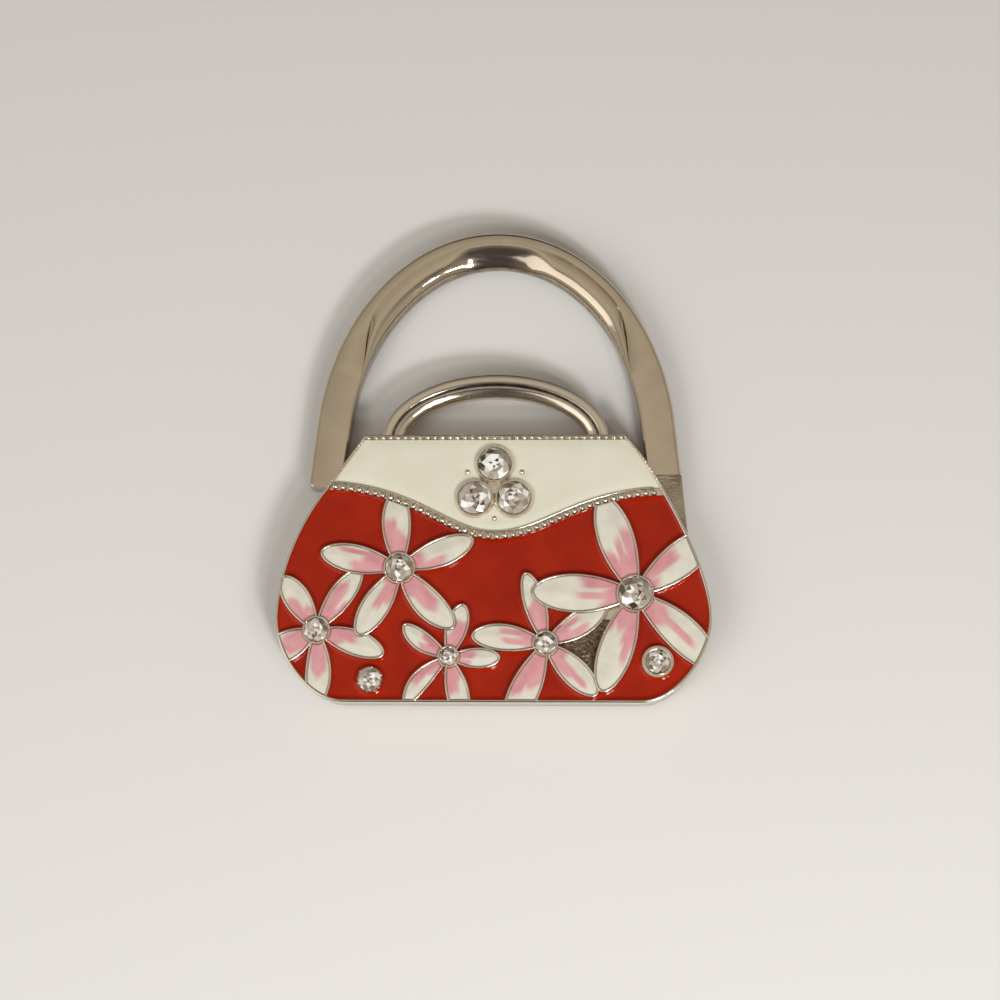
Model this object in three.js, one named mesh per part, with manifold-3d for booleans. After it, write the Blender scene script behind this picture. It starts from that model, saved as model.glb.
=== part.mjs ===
// Purse hook shaped like a handbag: a plated, enamelled body whose big handle swivels out as a hook.
// It lies on its pad: X runs across, Y towards the hook's crown, Z out of the enamelled face. Millimetres.
import * as THREE from 'three';
import { mergeVertices } from 'three/addons/utils/BufferGeometryUtils.js';
import Module from 'manifold-3d';

// Levels above the surface that the pad rests on
const padProud = 0.6;
const frameDepth = 3.4;
const faceThickness = 1.4;
const pocketFloorThickness = 0.5;
const redEnamelDepth = 0.65;
const flapFloorThickness = 0.65;
const flapEnamelDepth = 0.55;
const petalWallRise = 0.2;
const petalEnamelDrop = 0.12;

// Outline of the face, drawn about the middle of the footprint
const flapTopHalf = 15.7;
const flapTopY = 4.4;
const shoulderHalf = 20.2;
const shoulderY = -2.0;
const bodyHalf = 26.05;
const widestY = -18.0;
const bottomHalf = 17.6;
const bottomY = -28.2;
const leftSideBulge = 3.8;
const rightSideBulge = 2.6;
const rightBevelBulge = 0.35;
const sideShoulderRise = 4.8;
const cornerFullness = 4.4;
const edgeChamfer = 0.25;
const rimWidth = 0.4;
const cupRimOverlap = 0.1;

// Beaded rows: one along the curved lower edge of the flap, one along its top
const beadCurveLowY = -8.0;
const beadCurveLeft = { crownX: 5.5, shoulderX: 9.4, shoulderY: -2.3, endY: -1.85 };
const beadCurveRight = { crownX: 6.3, shoulderX: 9.2, shoulderY: -3.1, endY: -2.6 };
const beadStripWidth = 1.0;
const beadRadius = 0.42;
const beadPitch = 1.0;
const topStripWidth = 0.65;
const topBeadRadius = 0.28;
const topBeadPitch = 0.88;
const beadSink = 0.12;
const topBeadSink = 0.06;

// Cups, bezels and stones
const cupWall = 0.28;
const petalWaist = 0.35;
const petalTaper = 0.4;
const petalFirstAngle = 0.6;
const bezelWall = 0.28;
const bezelRise = 0.4;
const stoneTableHeight = 0.62;
const girdleDrop = 0.15;
const stoneCrownBase = 0.12;
const stoneTableShare = 0.58;
const stonePavilionDepth = 0.75;
const flapClusterX = 0.05;
const flapClusterY = -2.1;
const flapStoneRadius = 2.0;
const flapStoneGap = 0.14;
const flapStoneRows = 4.2;
const pipRing = 3.8;
const pipRadius = 0.33;
const pipRise = 0.12;
const smallestField = 0.9;
const fillClearance = 0.06;
const seatClearance = 0.06;

// Frame casting behind the face
const frameInset = 0.25;
const frameWall = 1.0;
const frameFloor = 1.0;
const backRounding = 0.45;
const backRoundingKnee = 0.3;
const legPocketX = 17.4;
const legPocketY = -2.1;
const studRadius = 0.8;
const studBossWall = 1.0;
const studLength = 1.7;
const studClearance = 0.08;
const studPlaces = [[-15, -17], [15, -17], [0, -1.5]];

// Swing hook: an elliptical arch on two straight legs
const archHalfWidth = 19.9;
const archCentreY = 2.1;
const archHeight = 26.2;
const hookWidth = 4.2;
const hookDepth = 2.8;
const hookEdgeRadius = 0.5;
const legTopY = 6.0;
const leftLegEndY = -1.7;
const legEndRadius = 0.6;
const legEndShares = [1, 0.5, 0.15, 0];
const crownFlatWidth = 1.25;
const crownInnerLevel = -0.25;
const crownGrooveDepth = 0.35;
const crownGrooveWidth = 0.12;
const crownRidgeInset = 1.0;
const legCreaseWidth = 0.06;
const creaseStartY = 13.0;
const creaseEndY = 21.5;

// Swivel: lug, pin, spring, washer and clip
const jointY = -0.3;
const jointGap = 0.06;
const turningClearance = 0.2;
const lugEndY = -8.3;
const lugFlare = 0.8;
const pinRadius = 0.8;
const pressClearance = 0.03;
const runningClearance = 0.06;
const pinTopY = 4.0;
const springRadius = 1.1;
const springWire = 0.15;
const springTurns = 4;
const springLength = 2.3;
const washerRadius = 1.25;
const washerThickness = 0.35;
const clipGrooveDepth = 0.22;
const clipThickness = 0.4;
const clipOpening = 1.1;
const pinTail = 0.6;
const stackGap = 0.06;
const swivelPocketHalf = 1.45;
const swivelPocketEndRoom = 0.3;

// Small fixed handle between the hook's legs
const smallArchHalfWidth = 13.8;
const smallArchCentreY = 4.0;
const smallArchHeight = 8.3;
const smallArchWidth = 2.7;
const smallArchDepth = 2.1;
const smallArchCrease = 1.2;
const smallArchBevel = 0.25;
const smallArchRound = [[0.55, 0.12], [0.9, 0.35], [1, 0.6]];
const smallArchFootY = 1.6;
const smallArchDrop = 0.15;
const footClearance = 0.08;

// Rubber pad let into the back
const padLength = 32.0;
const padWidth = 17.0;
const padThickness = 1.0;
const padCentreY = -14.0;
const padClearance = 0.1;

// The ornament is laid out for a body of this half width and this depth below the drawing's X axis,
// and keeps its places on a wider or deeper one
const drawnFor = new THREE.Vector2(26.05, 28.2);
const placed = (x, y) => [x * bodyHalf / drawnFor.x, y * -bottomY / drawnFor.y];

// Flowers: centre, stone radius, rise over the lowest flower, and five petals as tip x, tip y, width and
// sideways bend, each over its wall. They are listed from the lowest to the topmost.
const flowers = [
  { name: 'lower_left', x: -21.0, y: -19.55, stone: 1.45, rise: 0, petals: [
    [-20.9, -28.9, 3.15, 0.3], [-27.5, -22.9, 3.7, 0.1], [-25.25, -13.0, 3.2, -0.05],
    [-15.8, -12.15, 3.0, 0.05], [-12.85, -22.45, 3.2, 0.15]] },
  { name: 'bottom_left', x: -5.2, y: -22.75, stone: 1.08, rise: 0.06, petals: [
    [-3.5, -16.35, 2.75, 0], [-10.65, -18.9, 2.45, 0.3], [-10.35, -28.5, 2.4, -0.55],
    [-3.35, -30.2, 2.8, 0.1], [1.0, -22.85, 2.55, -0.1]] },
  { name: 'upper_left', x: -11.2, y: -12.05, stone: 1.68, rise: 0.1, petals: [
    [-11.75, -2.5, 3.55, 0.15], [-20.7, -10.05, 3.55, 0], [-16.1, -20.2, 3.5, 0],
    [-4.6, -19.3, 3.6, -0.3], [-2.35, -8.45, 3.5, -0.1]] },
  { name: 'bottom_right', x: 6.3, y: -21.15, stone: 1.32, rise: 0.12, petals: [
    [1.9, -31.0, 3.7, 0.1], [-2.5, -20.15, 3.35, -0.15], [3.85, -12.55, 2.75, -0.1],
    [13.6, -16.4, 3.15, -0.2], [12.45, -27.3, 3.35, 0.05]] },
  { name: 'right', x: 16.95, y: -15.15, stone: 2.0, rise: 0.2, petals: [
    [12.95, -3.25, 4.4, 0.05], [4.6, -14.9, 4.75, 0.1], [12.95, -26.95, 4.25, 0],
    [26.4, -24.1, 4.3, 0.35], [26.3, -7.6, 4.35, -0.15]] },
].map((flower) => ({
  ...laidOut(flower),
  petals: flower.petals.map(([tipX, tipY, width, bend]) => [...placed(tipX, tipY), width, bend]),
}));
const loneStones = [
  { name: 'lone_left', x: -14.5, y: -25.5, stone: 1.42, bezel: 0.15 },
  { name: 'lone_right', x: 19.6, y: -23.3, stone: 1.42, bezel: 0.5 },
].map(laidOut);

// The flap's stones stand close together in a triangle, with a pip in each of its outer corners
const flapStoneAt = (name, column, row) => ({
  name,
  x: flapClusterX + column * (flapStoneRadius + bezelWall + flapStoneGap / 2),
  y: flapClusterY + row * flapStoneRows / 3,
  stone: flapStoneRadius,
  rise: 0,
});
const flapStones = [
  flapStoneAt('flap_top', 0, 2),
  flapStoneAt('flap_left', -1, -1),
  flapStoneAt('flap_right', 1, -1),
];
const pips = [30, 150, 270].map(THREE.MathUtils.degToRad).map((angle) => (
  [flapClusterX + pipRing * Math.cos(angle), flapClusterY + pipRing * Math.sin(angle)]));
const bareField = laidOut({ x: 10.75, y: -21.3, reach: 1.2 });

// Smoothness
const curveSteps = 9;
const hollowSteps = 5;
const petalSteps = 6;
const archSteps = 28;
const smallArchSteps = 20;
const roundSteps = 14;
const pipSteps = 8;
const stoneSteps = 12;
const cornerSteps = 2;
const crownSteps = 5;
const springStepsPerTurn = 7;
const springWireSteps = 3;

// Working distances: how far joined solids run into each other, cutters run past, and points are welded
const overlap = 0.1;
const runPast = 1;
const farAway = 40;
const weldDistance = 1e-5;

function laidOut(item) {
  const [x, y] = placed(item.x, item.y);
  return { rise: 0, ...item, x, y };
}

const wasm = await Module();
wasm.setup();

// Levels that follow from the sizes above
const faceBack = padProud + frameDepth;
const pocketFloor = faceBack + pocketFloorThickness;
const rimTop = faceBack + faceThickness;
const flapFloor = faceBack + flapFloorThickness;
const flapEnamelTop = flapFloor + flapEnamelDepth;
const cupTop = rimTop + petalWallRise;
const bezelTop = rimTop + bezelRise;
const stoneGirdle = bezelTop - girdleDrop;
const hookMiddle = padProud + frameDepth / 2;
const frameInside = padProud + frameFloor;

// Materials
const plating = { color: '#c9c3b8', roughness: 0.16, metalness: 1 };
const steel = { color: '#9c9c9c', roughness: 0.3, metalness: 1 };
const rubber = { color: '#1c1c1e', roughness: 0.85, metalness: 0 };
const creamEnamel = { color: '#e4decb', roughness: 0.12, metalness: 0 };
const redEnamel = { color: '#a3200c', roughness: 0.08, metalness: 0 };
const petalEnamel = { color: '#e3c0bd', roughness: 0.15, metalness: 0 };
const crystal = { color: '#e9edf2', roughness: 0.02, metalness: 0.1 };

// Solids for joining and cutting
function toSolid(geometry) {
  const bare = geometry.clone();
  bare.deleteAttribute('normal');
  bare.deleteAttribute('uv');
  const merged = mergeVertices(bare, weldDistance);
  return new wasm.Manifold(new wasm.Mesh({
    numProp: 3,
    vertProperties: new Float32Array(merged.attributes.position.array),
    triVerts: new Uint32Array(merged.index.array),
  }));
}

function toGeometry(solid) {
  const { vertProperties, triVerts } = solid.getMesh();
  const geometry = new THREE.BufferGeometry();
  geometry.setAttribute('position', new THREE.BufferAttribute(vertProperties, 3));
  geometry.setIndex(new THREE.BufferAttribute(triVerts, 1));
  geometry.computeVertexNormals();
  return geometry;
}

function joined(solids) {
  return solids.reduce((sum, solid) => sum.add(solid));
}

function cut(solid, cutters) {
  return cutters.reduce((rest, cutter) => rest.subtract(cutter), solid);
}

// The separate bodies of a solid, each as { geometry, volume, x, y }, without those under a least volume
function separateBodies(solid, leastVolume) {
  const { vertProperties, triVerts } = solid.getMesh();
  const parent = Array.from({ length: vertProperties.length / 3 }, (_, index) => index);
  const root = (index) => {
    while (parent[index] !== index) index = parent[index];
    return index;
  };
  for (let t = 0; t < triVerts.length; t += 3) {
    parent[root(triVerts[t + 1])] = root(triVerts[t]);
    parent[root(triVerts[t + 2])] = root(triVerts[t]);
  }
  const groups = new Map();
  for (let t = 0; t < triVerts.length; t += 3) {
    const key = root(triVerts[t]);
    if (!groups.has(key)) groups.set(key, []);
    groups.get(key).push(...triVerts.slice(t, t + 3));
  }
  return [...groups.values()]
    .map((triangles) => bodyOf(vertProperties, triangles))
    .filter((body) => body.volume > leastVolume)
    .sort((one, other) => one.x - other.x);
}

function bodyOf(vertices, triangles) {
  const point = (index) => new THREE.Vector3().fromArray(vertices, 3 * index);
  const middle = new THREE.Vector3();
  let volume = 0;
  for (let t = 0; t < triangles.length; t += 3) {
    const [a, b, c] = [point(triangles[t]), point(triangles[t + 1]), point(triangles[t + 2])];
    const part = a.dot(b.clone().cross(c)) / 6;
    volume += part;
    middle.addScaledVector(a.add(b).add(c), part / 4);
  }
  const geometry = new THREE.BufferGeometry();
  const positions = triangles.flatMap((index) => point(index).toArray());
  geometry.setAttribute('position', new THREE.Float32BufferAttribute(positions, 3));
  return {
    geometry: mergeVertices(geometry, weldDistance),
    volume,
    x: middle.x / volume,
    y: middle.y / volume,
  };
}

// Outlines are lists of Vector2, anticlockwise and without a repeated last point
function offsetLoop(loop, distance) {
  return loop.map((point, index) => {
    const before = loop[(index + loop.length - 1) % loop.length];
    const after = loop[(index + 1) % loop.length];
    const a = outwardNormal(before, point);
    const b = outwardNormal(point, after);
    const mitre = a.clone().add(b);
    return point.clone().addScaledVector(mitre, distance / (1 + a.dot(b)));
  });
}

function outwardNormal(from, to) {
  return new THREE.Vector2(to.y - from.y, from.x - to.x).normalize();
}

function prism(loop, low, high) {
  const depth = high - low;
  const geometry = new THREE.ExtrudeGeometry(new THREE.Shape(loop), { depth, bevelEnabled: false });
  return toSolid(geometry.translate(0, 0, low));
}

// A prism less a wall of even thickness all round
function hollowOf(loop, wall, low, high) {
  const bands = loop.map((start, index) => {
    const end = loop[(index + 1) % loop.length];
    const along = end.clone().sub(start).setLength(wall);
    const outward = outwardNormal(start, end);
    const corners = [[start, -1, overlap], [end, 1, overlap], [end, 1, -wall], [start, -1, -wall]];
    const band = corners.map(([corner, way, out]) => (
      corner.clone().addScaledVector(along, way).addScaledVector(outward, out)));
    return prism(band, low - runPast, high + runPast);
  });
  return cut(prism(loop, low, high), bands);
}

function disc(x, y, radius, low, high, steps = roundSteps) {
  const geometry = new THREE.CylinderGeometry(radius, radius, high - low, steps);
  return toSolid(geometry.rotateX(Math.PI / 2).translate(x, y, (low + high) / 2));
}

function block(lowX, highX, lowY, highY, low, high) {
  const geometry = new THREE.BoxGeometry(highX - lowX, highY - lowY, high - low);
  return toSolid(geometry.translate((lowX + highX) / 2, (lowY + highY) / 2, (low + high) / 2));
}

// A closed skin over rings of equal point counts, capped at both ends
function loft(rings, flatEnds) {
  const count = rings[0].length;
  const positions = rings.flat().flatMap((point) => point.toArray());
  const faces = [];
  for (let r = 0; r + 1 < rings.length; r += 1) {
    for (let p = 0; p < count; p += 1) {
      const next = (p + 1) % count;
      const [a, b] = [r * count + p, r * count + next];
      faces.push(a, b, b + count, a, b + count, a + count);
    }
  }
  const lastStart = (rings.length - 1) * count;
  for (const [i, j, k] of THREE.ShapeUtils.triangulateShape(flatEnds, [])) {
    faces.push(i, k, j, lastStart + i, lastStart + j, lastStart + k);
  }
  const geometry = new THREE.BufferGeometry();
  geometry.setAttribute('position', new THREE.Float32BufferAttribute(positions, 3));
  geometry.setIndex(faces);
  return geometry;
}

// Outlines stacked at given levels
function stack(levels) {
  const rings = levels.map(({ loop, z }) => loop.map((point) => new THREE.Vector3(point.x, point.y, z)));
  return toSolid(loft(rings, levels[0].loop));
}

// A turned piece whose axis runs along Y through the swivel
function turned(profile, steps = roundSteps) {
  const geometry = new THREE.LatheGeometry(profile.map(([r, y]) => new THREE.Vector2(r, y)), steps);
  return toSolid(geometry.translate(swivelX, 0, hookMiddle));
}

// Outline of the face
function faceOutline(steps) {
  const shape = new THREE.Shape();
  shape.moveTo(-bottomHalf, bottomY);
  shape.lineTo(bottomHalf, bottomY);
  shape.bezierCurveTo(bottomHalf + cornerFullness, bottomY, bodyHalf, widestY - cornerFullness,
    bodyHalf, widestY);
  shape.bezierCurveTo(bodyHalf, widestY + sideShoulderRise, shoulderHalf + rightSideBulge,
    shoulderY - sideShoulderRise, shoulderHalf, shoulderY);
  shape.quadraticCurveTo((shoulderHalf + flapTopHalf) / 2 + rightBevelBulge,
    (shoulderY + flapTopY) / 2 + rightBevelBulge, flapTopHalf, flapTopY);
  shape.lineTo(-flapTopHalf, flapTopY);
  shape.lineTo(-shoulderHalf, shoulderY);
  shape.bezierCurveTo(-shoulderHalf - leftSideBulge, shoulderY - sideShoulderRise,
    -bodyHalf, widestY + sideShoulderRise, -bodyHalf, widestY);
  shape.bezierCurveTo(-bodyHalf, widestY - cornerFullness, -bottomHalf - cornerFullness, bottomY,
    -bottomHalf, bottomY);
  return shape.getPoints(steps).slice(0, -1);
}

const outline = faceOutline(curveSteps);

// The curve that the lower beads follow, from left to right
function beadCurve() {
  const half = (side, { crownX, shoulderX, shoulderY: bendY, endY }) => new THREE.CubicBezierCurve(
    new THREE.Vector2(0, beadCurveLowY),
    new THREE.Vector2(side * crownX, beadCurveLowY),
    new THREE.Vector2(side * shoulderX, bendY),
    new THREE.Vector2(side * shoulderHalf, endY),
  );
  const left = half(-1, beadCurveLeft).getPoints(curveSteps).reverse();
  return [...left, ...half(1, beadCurveRight).getPoints(curveSteps).slice(1)];
}

// The region on one side of the bead curve, out to the outline: the flap above it or the red body below it
function regionBeside(side, clearance, low, high) {
  const line = beadCurve();
  const edge = line.map((point, index) => {
    const before = line[Math.max(index - 1, 0)];
    const after = line[Math.min(index + 1, line.length - 1)];
    const across = outwardNormal(before, after).multiplyScalar(-side);
    return point.clone().addScaledVector(across, beadStripWidth / 2 + clearance);
  });
  const reach = 2 * bodyHalf;
  const left = new THREE.Vector2(-reach, edge[0].y);
  const right = new THREE.Vector2(reach, edge[edge.length - 1].y);
  const far = [new THREE.Vector2(reach, side * reach), new THREE.Vector2(-reach, side * reach)];
  const region = [left, ...edge, right, ...far];
  const inside = prism(offsetLoop(outline, -rimWidth - clearance), low, high);
  return inside.intersect(prism(side > 0 ? region : region.reverse(), low - runPast, high + runPast));
}

function flapRegion(clearance, low, high) {
  const top = flapTopY - topStripWidth - clearance;
  const above = block(-farAway, farAway, top, farAway, low - runPast, high + runPast);
  return regionBeside(1, clearance, low, high).subtract(above);
}

// Petals
const petalFullness = (share) => petalWaist + (1 - petalWaist) * share - petalTaper * share ** 2;
const petalBreadth = (share) => 2 * Math.sqrt(share * (1 - share)) * petalFullness(share);
const petalWidest = Math.max(...Array.from({ length: 50 }, (_, k) => petalBreadth(k / 50)));

// The outside of a petal's wall, grown
function petalLoop(flower, [tipX, tipY, width, bend], grow) {
  const centre = new THREE.Vector2(flower.x, flower.y);
  const along = new THREE.Vector2(tipX, tipY).sub(centre);
  const across = new THREE.Vector2(-along.y, along.x).normalize();
  const side = (sign, steps) => steps.map((angle) => {
    const share = (1 - Math.cos(angle)) / 2;
    const half = width / 2 * petalBreadth(share) / petalWidest;
    const shift = 4 * bend * share * (1 - share) + sign * half;
    return centre.clone().addScaledVector(along, share).addScaledVector(across, shift);
  });
  const turn = Math.PI - petalFirstAngle;
  const angles = Array.from({ length: petalSteps }, (_, k) => petalFirstAngle + turn * k / petalSteps);
  const loop = [...side(-1, angles), new THREE.Vector2(tipX, tipY), ...side(1, angles).reverse()];
  return grow === 0 ? loop : offsetLoop(loop, grow);
}

const petals = flowers.flatMap((flower, order) => flower.petals.map((petal, index) => (
  { flower, petal, order, name: `petal_${flower.name}_${index + 1}` })));

function bezelRadius(stone) {
  return stone.stone + (stone.bezel ?? bezelWall);
}

const bodyStones = [...flowers, ...loneStones];
const allStones = [...bodyStones, ...flapStones];

function bezels(stones, clearance, low, high) {
  return stones.map((stone) => (
    disc(stone.x, stone.y, bezelRadius(stone) + clearance, low, high + stone.rise)));
}

// The enamel of a petal: its outline, cut back by the walls of the petals over it and by the bezels
function petalField(index, clearance, low, high) {
  const { flower, petal, order } = petals[index];
  const over = petals.filter((other, place) => place > index && other.order >= order);
  const [under, above] = [low - runPast, high + runPast];
  const walls = over.map((other) => prism(
    petalLoop(other.flower, other.petal, clearance), under, above));
  const body = prism(petalLoop(flower, petal, -cupWall - clearance), low, high)
    .intersect(regionBeside(-1, clearance, under, above));
  const pieces = separateBodies(cut(body, [...walls, ...bezels(bodyStones, clearance, under, above)]), 0);
  return pieces.reduce((largest, piece) => (piece.volume > largest.volume ? piece : largest));
}

// The red fields: the body region less all cups and bezels
function redFields(clearance, low, high) {
  const [under, above] = [low - runPast, high + runPast];
  const walls = petals.map(({ flower, petal }) => prism(
    petalLoop(flower, petal, clearance), under, above));
  const rest = cut(regionBeside(-1, clearance, low, high),
    [...walls, ...bezels(bodyStones, clearance, under, above)]);
  return separateBodies(rest, smallestField * (high - low));
}

// Swing hook
const archStart = Math.asin((legTopY - archCentreY) / archHeight);
const legSlope = (archHalfWidth * Math.sin(archStart)) / (archHeight * Math.cos(archStart));
const legTopX = archHalfWidth * Math.cos(archStart);
const legX = (y) => legTopX + (legTopY - y) * legSlope;
const swivelX = legX(jointY);

// Cross-section of the hook: u from the inner edge outwards, w up. Roundness 0 is the flat leg, and 1 the
// crown, whose inner half is a rounded ridge beside a groove
function hookRing(centre, outward, roundness, end = 0) {
  const halfWidth = hookWidth / 2 - end;
  const halfDepth = hookDepth / 2;
  const r = hookEdgeRadius;
  const creaseU = THREE.MathUtils.lerp(-halfWidth + r, halfWidth - crownFlatWidth, roundness);
  const grooveU = creaseU - THREE.MathUtils.lerp(legCreaseWidth / 2, crownGrooveWidth, roundness);
  const ridgeU = creaseU - THREE.MathUtils.lerp(legCreaseWidth, crownRidgeInset, roundness);
  const innerW = THREE.MathUtils.lerp(halfDepth - r, crownInnerLevel, roundness);
  const arc = (u, w, radiusU, radiusW, from, steps) => Array.from({ length: steps + 1 }, (_, k) => {
    const angle = from + (Math.PI / 2) * k / steps;
    return [u + radiusU * Math.cos(angle), w + radiusW * Math.sin(angle)];
  });
  const section = [
    ...arc(halfWidth - r, -halfDepth + r, r, r, -Math.PI / 2, cornerSteps),
    ...arc(halfWidth - r, halfDepth - r, r, r, 0, cornerSteps),
    [creaseU, halfDepth],
    [grooveU, halfDepth - crownGrooveDepth * roundness],
    ...arc(ridgeU, innerW, ridgeU + halfWidth, halfDepth - innerW, Math.PI / 2, crownSteps),
    ...arc(-halfWidth + r, -halfDepth + r, r, r, Math.PI, cornerSteps),
  ];
  return section.map(([u, w]) => new THREE.Vector3(
    centre.x + outward.x * u, centre.y + outward.y * u, hookMiddle + w));
}

function archPoint(angle) {
  const [across, up] = [Math.cos(angle), Math.sin(angle)];
  const centre = new THREE.Vector2(archHalfWidth * across, archCentreY + archHeight * up);
  const outward = new THREE.Vector2(across / archHalfWidth, up / archHeight).normalize();
  return { centre, outward };
}

function swingHook() {
  const rings = [];
  const rightEndY = jointY + jointGap;
  const right = new THREE.Vector2(1, 0);
  const left = new THREE.Vector2(-1, 0);
  for (const y of [rightEndY, (rightEndY + legTopY) / 2]) {
    rings.push(hookRing(new THREE.Vector2(legX(y), y), right, 0));
  }
  for (let k = 0; k <= archSteps; k += 1) {
    const { centre, outward } = archPoint(archStart + (Math.PI - 2 * archStart) * k / archSteps);
    const roundness = THREE.MathUtils.smoothstep(centre.y, creaseStartY, creaseEndY);
    rings.push(hookRing(centre, outward, roundness));
  }
  rings.push(hookRing(new THREE.Vector2(-legX(legTopY / 2), legTopY / 2), left, 0));
  for (const share of legEndShares) {
    const y = leftLegEndY + legEndRadius * share;
    const inset = legEndRadius * (1 - Math.sqrt(1 - (1 - share) ** 2));
    rings.push(hookRing(new THREE.Vector2(-legX(y), y), left, 0, inset));
  }
  rings.reverse();
  const solid = toSolid(loft(rings, flatRing(rings[0])));
  return solid.subtract(pinHole(pinRadius + pressClearance, jointY - runPast, pinTopY + pressClearance));
}

function pinHole(radius, lowY, highY) {
  return turned([[0, lowY], [radius, lowY], [radius, highY], [0, highY]]);
}

// A ring's points in its own plane, for capping
function flatRing(ring) {
  const middle = ring.reduce((sum, point) => sum.add(point), new THREE.Vector3()).divideScalar(ring.length);
  const across = new THREE.Vector3(ring[0].x - middle.x, ring[0].y - middle.y, 0).normalize();
  return ring.map((point) => new THREE.Vector2(point.clone().sub(middle).dot(across), point.z - middle.z));
}

// The round space that the right leg turns in, wider where the leg leans away from the swivel's axis
function turningSpace() {
  const cornerU = hookWidth / 2 - hookEdgeRadius;
  const cornerW = hookDepth / 2 - hookEdgeRadius;
  const sweep = (y) => Math.hypot(cornerU + swivelX - legX(y), cornerW) + hookEdgeRadius + turningClearance;
  const profile = [[0, jointY], [sweep(jointY), jointY], [sweep(legTopY), legTopY], [0, legTopY]];
  return turned(profile, roundSteps * 2);
}

// Small handle: a band with a flat outer half and a rounded inner half, its feet let into the frame
function smallHandle(grow) {
  const rings = [];
  const start = Math.asin((smallArchFootY - smallArchCentreY) / smallArchHeight);
  const a = smallArchHalfWidth - smallArchWidth / 2;
  const b = smallArchHeight - smallArchWidth / 2;
  const top = faceBack - smallArchDrop + grow;
  const bottom = top - smallArchDepth - 2 * grow;
  const half = smallArchWidth / 2 + grow;
  const bevel = smallArchBevel;
  const rounded = smallArchRound.map(([inward, down]) => [-half * inward, top - smallArchDepth * down]);
  const section = [[half - bevel, bottom], [half, bottom + bevel], [half, top - bevel], [half - bevel, top],
    [half - smallArchCrease, top], ...rounded, [-half, bottom + bevel], [-half + bevel, bottom]];
  for (let k = 0; k <= smallArchSteps; k += 1) {
    const angle = start + (Math.PI - 2 * start) * k / smallArchSteps;
    const centre = new THREE.Vector2(a * Math.cos(angle), smallArchCentreY + b * Math.sin(angle));
    const outward = new THREE.Vector2(Math.cos(angle) / a, Math.sin(angle) / b).normalize();
    const end = k === 0 || k === smallArchSteps ? grow : 0;
    rings.push(section.map(([u, w]) => new THREE.Vector3(
      centre.x + outward.x * u, centre.y + outward.y * u - end, w)));
  }
  rings.reverse();
  return toSolid(loft(rings, flatRing(rings[0])));
}

// Face casting
function beadsAlong(points, bead, pitch, level) {
  const path = new THREE.CurvePath();
  points.slice(1).forEach((point, index) => path.add(new THREE.LineCurve(points[index], point)));
  const count = Math.floor(path.getLength() / pitch);
  return Array.from({ length: count }, (_, k) => {
    const point = path.getPointAt((k + 0.5) / count);
    return toSolid(bead.clone().translate(point.x, point.y, level));
  });
}

function stoneSeat(item) {
  const radius = item.stone + seatClearance;
  const point = -stonePavilionDepth - seatClearance;
  return stoneShape(item, [[0, point], [radius, 0], [radius, farAway], [0, farAway]]);
}

function faceCasting() {
  const plate = stack([
    { loop: outline, z: faceBack },
    { loop: outline, z: rimTop - edgeChamfer },
    { loop: offsetLoop(outline, -edgeChamfer), z: rimTop },
  ]);
  const cupWalls = petals.map(({ flower, petal }) => prism(
    petalLoop(flower, petal, 0), pocketFloor - overlap, cupTop + flower.rise));
  const raised = joined(cupWalls)
    .intersect(regionBeside(-1, -cupRimOverlap, pocketFloor - runPast, cupTop + runPast));
  const topLineY = flapTopY - topStripWidth / 2;
  const topLine = [new THREE.Vector2(-flapTopHalf, topLineY), new THREE.Vector2(flapTopHalf, topLineY)];
  const studs = studPlaces.map(([x, y]) => (
    disc(x, y, studRadius, faceBack - studLength, faceBack + overlap)));
  const redPockets = redFields(0, pocketFloor, cupTop + runPast).map(({ geometry }) => toSolid(geometry));
  const petalPockets = petals.map((_, index) => (
    toSolid(petalField(index, 0, pocketFloor, cupTop + runPast).geometry)));
  const blank = cut(plate, [flapRegion(0, flapFloor, rimTop + runPast), ...redPockets]);
  const dressed = joined([
    cut(blank.add(raised), petalPockets),
    ...bezels(allStones, 0, pocketFloor - overlap, bezelTop),
    ...pips.map(([x, y]) => disc(x, y, pipRadius, flapFloor - overlap, flapEnamelTop + pipRise, pipSteps)),
    ...beadsAlong(beadCurve(), new THREE.IcosahedronGeometry(beadRadius), beadPitch, rimTop - beadSink),
    ...beadsAlong(topLine, new THREE.OctahedronGeometry(topBeadRadius), topBeadPitch, rimTop - topBeadSink),
    ...studs,
  ]);
  return cut(dressed, [...allStones.map(stoneSeat), turningSpace()]);
}

// Rhinestone: a pointed back, a thin girdle and a cut crown with a flat table
function rhinestone(item) {
  const { stone } = item;
  return stoneShape(item, [[0, -stonePavilionDepth], [stone, 0], [stone, stoneCrownBase],
    [stone * stoneTableShare, stoneTableHeight], [0, stoneTableHeight]]);
}

// A shape turned about a stone's own axis, with its heights counted from the girdle
function stoneShape({ x, y, rise }, profile) {
  const geometry = new THREE.LatheGeometry(profile.map(([r, z]) => new THREE.Vector2(r, z)), stoneSteps);
  return toSolid(geometry.rotateX(Math.PI / 2).translate(x, y, stoneGirdle + rise));
}

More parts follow.
